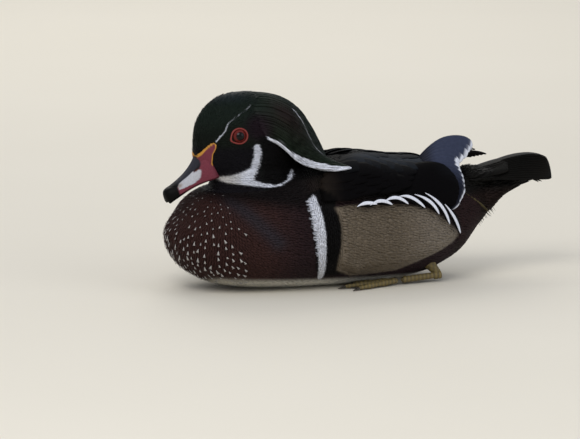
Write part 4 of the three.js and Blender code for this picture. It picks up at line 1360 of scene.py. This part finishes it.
tail()
rear_coat()
vent_fringe()


# Bill: horn over bone, with a nail at its tip and a slot for each nostril. Its marks are outlines of the
# share along it and of the share of its height.
BILL_WHITE_PATCH = [
    (0.62, 0.93), (0.39, 0.9), (0.39, 0.78), (0.3, 0.72), (0.272, 0.63), (0.345, 0.38), (0.472, 0.318),
    (0.62, 0.4), (0.76, 0.53), (0.75, 0.81), (0.72, 0.94),
]
BILL_BLACK = [
    (0.13, 1.3), (0.2, 0.97), (0.213, 0.9), (0.228, 0.8), (0.283, 0.735), (0.35, 0.74), (0.385, 0.8),
    (0.39, 0.865), (0.472, 0.88), (0.622, 0.9), (0.7, 0.9), (0.765, 0.76), (0.775, 0.5), (0.78, 0.3),
    (0.79, -0.8), (1.1, -0.8), (1.1, 1.3),
]
BILL_EDGE = 0.012
NOSTRIL = (0.335, 0.76)
NOSTRIL_SLOPE = 0.6
NOSTRIL_DEPTH = 1.5
BILL_RED = linear("#6d343f")
BILL_PALE = linear("#adaeb4")
BILL_DARK = linear("#0a0908")
# Painted sheen: a blue-grey for light along the top of the black ridge.
BILL_RIDGE_PAINTED_SHEEN = linear("#2e2e35")
BILL_NOSTRIL = linear("#4d2619")
# A grey-brown for a spot at the front upper corner of the white patch.
BILL_GREY_BROWN = linear("#7d6f60")
BILL_YELLOW = linear("#b8843a")
BILL_LOWER = linear("#5c2b32")


def bill_place(share, angle, drop_to=0.8, width=1.0, scale=1.0):
    """Places on a half of the bill, drop_to below its edge and scale times its height above it."""
    along = eased(share)
    pole = np.sqrt(np.minimum(1, np.minimum(share, 1 - share) * 14))
    rise = np.sin(angle)
    half = bill_width(along) * width * pole
    lift = np.where(rise > 0, bill_height(along) * scale, drop_to) * pole
    nail = np.where(share > 0.8, NAIL_DROP * ((share - 0.8) / 0.2) ** 2, 0)
    arch = EDGE_ARCH * np.sin(math.pi * np.minimum(1, along * 1.05)) * (1 - np.clip(rise, 0, 1)) * pole
    high = rise * lift - nail + arch
    point = GAPE + BILL_AHEAD * along[..., None] + BILL_UP * high[..., None]
    point[..., 1] -= signed_power(np.cos(angle), 0.75) * half
    return turned(point)


def nostril_share(along, rise, half_long, half_high):
    """How near places lie to the slot of the nostril, 1 in its middle."""
    off = rise - NOSTRIL[1] - NOSTRIL_SLOPE * (along - NOSTRIL[0])
    return np.exp(-((along - NOSTRIL[0]) / half_long) ** 2 - (off / half_high) ** 2)


def bill_part(name, place, colouring, grooves=False):
    points, faces = ball_parts(place, 96, 80)
    points = turned(points, -1)
    own = points - GAPE
    along = own @ BILL_AHEAD / BILL_LENGTH ** 2
    rise = own @ BILL_UP / np.maximum(bill_height(np.clip(along, 0, 1)), 0.1)
    if grooves:
        slot = nostril_share(along, rise, 0.04, 0.055)
        points[:, 1] -= np.sign(points[:, 1]) * NOSTRIL_DEPTH * slot * (np.abs(points[:, 1]) > 1)
        seam = np.exp(-((along - 0.86 + 0.05 * (points[:, 1] / 4) ** 2) / 0.012) ** 2) * (rise > 0.3)
        points = points - BILL_UP * (0.25 * seam)[:, None]
    colours = colouring(along, rise)
    mesh_object(name, turned(points), faces, "bill_horn", bill_horn, colours, replaces=(name,))


def paint_upper_bill(along, rise):
    flat = np.stack([along, rise], 1)
    colour = np.tile(BILL_RED, (len(flat), 1))
    colour = mix(colour, BILL_LOWER, 0.35 * ramp(rise, 0.12, 0))
    colour = mix(colour, BILL_PALE, ramp(inside_outline(flat, BILL_WHITE_PATCH), -BILL_EDGE, BILL_EDGE))
    # A grey-brown spot at the front upper corner of the white patch.
    grey_brown_spot = np.exp(-((along - 0.71) / 0.045) ** 2 - ((rise - 0.76) / 0.14) ** 2)
    colour = mix(colour, BILL_GREY_BROWN, 0.8 * grey_brown_spot)
    # Painted sheen: the top of the black ridge turns blue-grey, short of the nail.
    ridge = mix(BILL_DARK, BILL_RIDGE_PAINTED_SHEEN, ramp(rise, 0.7, 0.95) * ramp(along, 0.8, 0.6))
    colour = mix(colour, ridge, ramp(inside_outline(flat, BILL_BLACK), -BILL_EDGE, BILL_EDGE))
    return mix(colour, BILL_NOSTRIL, ramp(nostril_share(along, rise, 0.035, 0.05), 0.35, 0.7))


def paint_lower_bill(along, rise):
    return mix(np.tile(BILL_LOWER, (len(along), 1)), BILL_DARK, ramp(along, 0.55, 0.8))


GRAIN_SCALE = 900


def horn_material():
    """Bill horn: keratin over bone, smooth and slightly waxy, with a faint grain 1.1 mm across."""
    material = new_material("bill_horn_smooth")
    marking = add_node(material, "ShaderNodeAttribute", {"attribute_name": "marking"})
    place = add_node(material, "ShaderNodeTexCoord").outputs["Object"]
    grain = add_node(material, "ShaderNodeTexNoise", {"Scale": GRAIN_SCALE, "Detail": 4}, {"Vector": place})
    tone = add_node(
        material, "ShaderNodeMapRange", {"From Min": 0.35, "From Max": 0.65, "To Min": 0.9, "To Max": 1.08},
        {"Value": grain.outputs["Fac"]},
    )
    shaded = add_node(
        material, "ShaderNodeVectorMath", {"operation": "MULTIPLY"},
        {0: marking.outputs["Color"], 1: tone.outputs["Result"]},
    )
    bump = add_node(
        material, "ShaderNodeBump", {"Strength": 0.25, "Distance": 0.0003},
        {"Height": grain.outputs["Fac"]},
    )
    return finish_material(
        material, {"Roughness": 0.5, "IOR": 1.5, "Specular IOR Level": 0.06},
        {"Base Color": shaded.outputs["Vector"], "Normal": bump.outputs["Normal"]},
    )


LOWER_SHIFT = np.array([2, 0, 0.3])


def lower_bill_place(share, angle):
    return turned(turned(bill_place(share, angle, 2.8, 0.8, 0.06), -1) + LOWER_SHIFT)


bill_horn = horn_material()
bill_part("bill_upper", bill_place, paint_upper_bill, grooves=True)
bill_part("bill_lower", lower_bill_place, paint_lower_bill)

PLATE_REACH = 24


def bill_base():
    """The horn's plate on the face: a lobe on each side of the forehead, edged in yellow."""
    def place(share, angle):
        x = skull.first + eased(share) * PLATE_REACH
        inside = lobe_share(skull.surface(x, angle))
        point = skull.surface(x, angle, face_lift(x) + 1.5 * ramp(inside, -0.25, 0.7))
        middle = xyz(x + 5 * (1 - share), 0, 104)
        return turned(mix(point, middle, np.maximum(0.3 * ramp(inside, 0.1, -1.2), ramp(share, 0.86, 1))))

    points, faces = ball_parts(place, 180, 150)
    own = turned(points, -1)
    colour = mix(BILL_YELLOW, BILL_RED, ramp(lobe_share(own), 1.1, 1.6))
    colour = mix(colour, BILL_DARK, ramp(np.abs(own[:, 1]), 3.6, 2.2) * ramp(own[:, 2], 104, 102))
    mesh_object("bill_base", points, faces, "bill_horn", bill_horn, colour)


bill_base()


# Eyes and the bare red skin round them.
TISSUE_SCALE = 1400


def gloss_material(name, roughness, relief=0.0, coat=0.0, gloss=0.5):
    """Smooth wet or bare tissue, coloured by its own marks, with a relief 0.7 mm across."""
    material = new_material(name)
    marking = add_node(material, "ShaderNodeAttribute", {"attribute_name": "marking"})
    place = add_node(material, "ShaderNodeTexCoord").outputs["Object"]
    grain = add_node(
        material, "ShaderNodeTexNoise", {"Scale": TISSUE_SCALE, "Detail": 3}, {"Vector": place},
    )
    bump = add_node(
        material, "ShaderNodeBump", {"Strength": relief, "Distance": 0.0003},
        {"Height": grain.outputs["Fac"]},
    )
    return finish_material(
        material,
        {"Roughness": roughness, "IOR": 1.38, "Specular IOR Level": gloss, "Coat Weight": coat,
         "Coat Roughness": 0.02},
        {"Base Color": marking.outputs["Color"], "Normal": bump.outputs["Normal"]},
    )


# The wet cornea, the lid's bare skin, the scaly skin of the feet and the smooth horn of the claws.
eye_wet = gloss_material("eye_wet", roughness=0.08, coat=0.1, gloss=0.25)
lid_skin = gloss_material("eyelid_skin_bare", roughness=0.45, relief=0.5)
foot_hide = gloss_material("foot_skin_scaly", roughness=0.55, relief=0.8)
claw_horn = gloss_material("claw_horn_smooth", roughness=0.35, relief=0.2)
PUPIL = linear("#050404")
IRIS = linear("#5c1b17")
IRIS_RIM = linear("#2a0c0b")
RING_RED = linear("#7e302a")
RING_DARK = linear("#5a1d1b")
PUPIL_HALF = math.radians(33)
IRIS_HALF = math.radians(66)
LID_RADIUS = 6.15
LID_THICK = 0.72
LID_AHEAD = 2.6
LID_CORNER = math.radians(-28)
LID_HEIGHT = 0.93
LID_WRINKLES = 22


def facing(direction):
    return Vector(direction).to_track_quat("Z", "Y").to_matrix().to_4x4()


def read_parts(bm):
    """The points of a mesh under work, as they are, and its faces."""
    return np.array([v.co for v in bm.verts]), [tuple(v.index for v in face.verts) for face in bm.faces]


def eyeball(side, name):
    flip = np.array([1, -side, 1])
    bm = bmesh.new()
    bmesh.ops.create_uvsphere(bm, u_segments=48, v_segments=36, radius=EYE_RADIUS * MM)
    own = read_parts(bm)[0] / MM / EYE_RADIUS
    polar = np.arccos(np.clip(own[:, 2], -1, 1))
    bulge = 1 + 0.06 * ramp(np.degrees(polar), 50, 15)
    bmesh.ops.transform(bm, matrix=facing(EYE_LOOK * flip), verts=bm.verts[:])
    points, faces = read_parts(bm)
    bm.free()
    points = points / MM * bulge[:, None] + EYE_CENTRE * flip
    colour = mix(PUPIL, IRIS, ramp(polar, PUPIL_HALF - 0.03, PUPIL_HALF + 0.03))
    colour = mix(colour, IRIS_RIM, ramp(polar, IRIS_HALF - 0.25, IRIS_HALF))
    mesh_object(f"eyeball_{name}", turned(points), faces, "eye", eye_wet, colour, replaces=(f"eye_{name}",))


def eyelid(side, name):
    """A wrinkled ring of skin, drawn out to a corner toward the bill."""
    bm = bmesh.new()
    section = Matrix.Translation((LID_RADIUS * MM, 0, 0)) @ Matrix.Rotation(math.pi / 2, 4, "X")
    bmesh.ops.create_circle(bm, segments=14, radius=LID_THICK * MM, matrix=section)
    bmesh.ops.spin(
        bm, geom=bm.verts[:] + bm.edges[:], cent=(0, 0, 0), axis=(0, 0, 1), dvec=(0, 0, 0),
        angle=2 * math.pi, steps=64, use_merge=True,
    )
    bmesh.ops.remove_doubles(bm, verts=bm.verts[:], dist=1e-6)
    bmesh.ops.recalc_face_normals(bm, faces=bm.faces[:])
    own, faces = read_parts(bm)
    bm.free()
    own = own / MM
    around = np.arctan2(own[:, 1], own[:, 0])
    radius = np.hypot(own[:, 0], own[:, 1])
    ahead = unit(np.array([-1, 0, 0]) - EYE_LOOK * (-EYE_LOOK[0]))
    above = np.cross(ahead, EYE_LOOK)
    above = above * np.sign(above[2])
    off_corner = np.mod(around - LID_CORNER + math.pi, 2 * math.pi) - math.pi
    corner = 1 + 0.2 * np.exp(-(off_corner / 0.42) ** 2)
    wide, tall = np.cos(around) * radius * corner, np.sin(around) * radius * LID_HEIGHT * corner
    out = own[:, 2] + 0.1 * np.sin(around * LID_WRINKLES) * (radius > 6.1)
    rim = EYE_CENTRE + EYE_LOOK * LID_AHEAD
    points = rim + ahead * wide[:, None] + above * tall[:, None] + EYE_LOOK * out[:, None]
    if side > 0:
        faces = [face[::-1] for face in faces]
    colour = mix(RING_RED, RING_DARK, ramp(radius, 5.7, 5.3))
    mesh_object(
        f"eyelid_{name}", turned(points * [1, -side, 1]), faces, "eyelid_skin", lid_skin, colour,
        replaces=(f"eyelids_{name}",),
    )


for side, name in SIDES:
    eyeball(side, name)
    eyelid(side, name)

# Feet, folded under each side of the belly: toes with their joints, webs and claws.
TOE_ROOT = np.array([172, -38, 3.6])
TOES = [(127, -42.5), (134, -54), (138, -29.5)]
TOE_TIP_HEIGHT = 2.0
CLAW_LENGTH = 5
WEB_THICK = 0.7
HEEL = np.array([207, -34, 6])
KNEE = np.array([196, -28, 20])
FOOT_SKIN = linear("#77673d")
FOOT_JOINT = linear("#544a30")
WEB_DARK = linear("#2f2a22")
CLAW = linear("#2a241d")
# The step of the rings of scales, drawn coarser than real, how much they and the joints swell as shares
# of a toe's radius, and how far feet stay above the floor.
SCUTE = 2.2
SCUTE_RISE = 0.06
JOINT_SWELL = 0.16
FOOT_GAP = 0.35


def limb(bm, start, stop, start_radius, stop_radius, joints=0):
    """A tapered limb with swollen joints, added to a mesh."""
    matrix = facing(stop - start)
    length = np.linalg.norm(stop - start)
    for vertex in bmesh.ops.create_uvsphere(bm, u_segments=14, v_segments=64, radius=1)["verts"]:
        share = min(1, max(0, (vertex.co.z + 1) / 2))
        along = share * length
        radius = start_radius + (stop_radius - start_radius) * share
        if joints:
            radius *= 1 + JOINT_SWELL * math.cos(2 * math.pi * joints * share)
        radius *= 1 + SCUTE_RISE * ((along / SCUTE) % 1 - 0.5)
        cap = min(1, math.hypot(vertex.co.x, vertex.co.y) * 1.9)
        turn = math.atan2(vertex.co.y, vertex.co.x)
        local = Vector((math.cos(turn) * radius * cap, math.sin(turn) * radius * cap, along))
        vertex.co = Vector(start) + matrix @ local
        vertex.co.z = max(vertex.co.z, FOOT_GAP)


def web(bm, first, second):
    """The web between two toes, its free edge drawn in and its skin rippled."""
    made = bmesh.ops.create_grid(bm, x_segments=16, y_segments=10, size=0.5)["verts"]
    for vertex in made:
        across, along = vertex.co.x + 0.5, 0.06 + (vertex.co.y + 0.5) * 0.88
        along *= 1 - 0.14 * math.sin(math.pi * across)
        edge = np.array(first) * (1 - across) + np.array(second) * across
        place = TOE_ROOT[:2] * (1 - along) + edge * along
        ripple = 0.25 * math.cos(4 * math.pi * across) * along
        vertex.co = Vector((*place, 2.3 - 0.8 * along - 0.5 * math.sin(math.pi * across) + ripple))
    faces = list({face for vertex in made for face in vertex.link_faces})
    bmesh.ops.solidify(bm, geom=faces, thickness=WEB_THICK)


def foot_parts():
    middle, outer, inner = TOES
    for side, name in SIDES:
        skin_bm, claw_bm = bmesh.new(), bmesh.new()
        for x, y in TOES:
            tip = np.array([x, y, TOE_TIP_HEIGHT])
            ahead = unit(tip - TOE_ROOT)
            limb(skin_bm, TOE_ROOT, tip, 2.4, 1.5, joints=3)
            limb(claw_bm, tip - ahead * 1.5, tip + ahead * CLAW_LENGTH - [0, 0, 1.1], 1.35, 0.3)
        limb(skin_bm, TOE_ROOT + [3, 0, 0.2], HEEL - [1, 0, 0.6], 2.6, 2.4)
        limb(skin_bm, HEEL + [2.2, 0, -0.4], HEEL - [4, 0, 1], 3.2, 3.0)
        limb(skin_bm, HEEL, KNEE, 2.8, 6.0)
        limb(skin_bm, TOE_ROOT + [5, 3, 0.4], TOE_ROOT + [15, 8, -1.2], 1.7, 1.0, joints=1)
        toes_end = len(skin_bm.verts)
        web(skin_bm, outer, middle)
        web(skin_bm, middle, inner)
        for vertex in skin_bm.verts:
            vertex.co.z = max(vertex.co.z, FOOT_GAP)
        for bm, label, material in ((skin_bm, "foot", foot_hide), (claw_bm, "claws", claw_horn)):
            bmesh.ops.recalc_face_normals(bm, faces=bm.faces[:])
            bm.verts.index_update()
            points, faces = read_parts(bm)
            bm.free()
            points = points * [1, -side, 1]
            if side > 0:
                faces = [face[::-1] for face in faces]
            if label == "foot":
                colour = mix(FOOT_SKIN, FOOT_JOINT, 0.5 + 0.5 * np.sin(points[:, 0] * 1.9))
                colour[toes_end:] = WEB_DARK
                replaces = (f"foot_{name}", f"leg_{name}")
            else:
                colour, replaces = np.tile(CLAW, (len(points), 1)), ()
            mesh_object(
                f"{label}_skin_{name}", points, faces, "foot_skin", material, colour, replaces=replaces,
            )


foot_parts()

# Floor and lights, in metres and watts.
FLOOR_HALF = 6
PAPER_DARK = linear("#d9d3c4")
PAPER_PALE = linear("#ded8ca")


def make_floor():
    """A wide sheet of matt paper, faintly clouded."""
    bm = bmesh.new()
    bmesh.ops.create_grid(bm, x_segments=1, y_segments=1, size=FLOOR_HALF)
    mesh = bpy.data.meshes.new("floor")
    bm.to_mesh(mesh)
    bm.free()
    material = new_material("floor_pale_paper")
    place = add_node(material, "ShaderNodeTexCoord")
    cloud = add_node(
        material, "ShaderNodeTexNoise", {"Scale": 3, "Detail": 2}, {"Vector": place.outputs["Object"]},
    )
    tone = add_node(
        material, "ShaderNodeMixRGB", {"Color1": (*PAPER_DARK, 1), "Color2": (*PAPER_PALE, 1)},
        {"Fac": cloud.outputs["Fac"]},
    )
    finish_material(material, {"Roughness": 0.8}, {"Base Color": tone.outputs["Color"]})
    mesh.materials.append(material)
    floor = bpy.data.objects.new("floor", mesh)
    bpy.context.scene.collection.objects.link(floor)


def area_light(name, place, target, size, power, colour):
    lamp = bpy.data.lights.new(name, "AREA")
    lamp.size = size
    lamp.energy = power
    lamp.color = colour
    light = bpy.data.objects.new(name, lamp)
    light.location = place
    light.rotation_euler = (Vector(target) - Vector(place)).to_track_quat("-Z", "Y").to_euler()
    bpy.context.scene.collection.objects.link(light)


# The camera takes the photograph's view: its direction, millimetres to a pixel at the bird, its size in
# pixels, and the pixel at which a point of the bird's middle plane lies.
AZIMUTH, ELEVATION = math.radians(20), math.radians(9)
PIXEL = 0.76
IMAGE = (580, 439)
ANCHOR = np.array([0, 0, 30.0])
ANCHOR_PIXEL = (168, 251)
LENS, SENSOR = 600, 36


def make_camera():
    right = np.array([math.cos(AZIMUTH), -math.sin(AZIMUTH), 0])
    level = math.cos(ELEVATION)
    back = np.array([-math.sin(AZIMUTH) * level, -math.cos(AZIMUTH) * level, math.sin(ELEVATION)])
    up = np.cross(back, right)
    across, above = IMAGE[0] / 2 - ANCHOR_PIXEL[0], ANCHOR_PIXEL[1] - IMAGE[1] / 2
    target = ANCHOR + right * across * PIXEL + up * above * PIXEL
    distance = IMAGE[0] * PIXEL * LENS / SENSOR
    data = bpy.data.cameras.new("camera")
    data.lens, data.sensor_width, data.clip_end = LENS, SENSOR, 60
    camera = bpy.data.objects.new("camera", data)
    turn = Matrix((right, up, back)).transposed().to_4x4()
    camera.matrix_world = Matrix.Translation(Vector(placed(target + back * distance))) @ turn
    bpy.context.scene.collection.objects.link(camera)
    bpy.context.scene.camera = camera


make_floor()
make_camera()
area_light("key", (-1.1, -1.3, 1.7), (0, 0, 0.07), size=1.4, power=26, colour=(1.0, 0.985, 0.96))
area_light("fill", (1.3, -1.5, 0.9), (0, 0, 0.07), size=1.6, power=9, colour=(0.93, 0.96, 1.0))
area_light("rim", (0.3, 1.6, 1.3), (0, 0, 0.08), size=1.4, power=14, colour=(1.0, 0.97, 0.9))
world = bpy.data.worlds.new("studio")
bpy.context.scene.world = world
world.use_nodes = True
sky = world.node_tree.nodes["Background"]
sky.inputs["Color"].default_value = (0.86, 0.9, 1.0, 1)
sky.inputs["Strength"].default_value = 0.55
bpy.context.scene.view_settings.view_transform = "Standard"

bpy.context.view_layer.update()
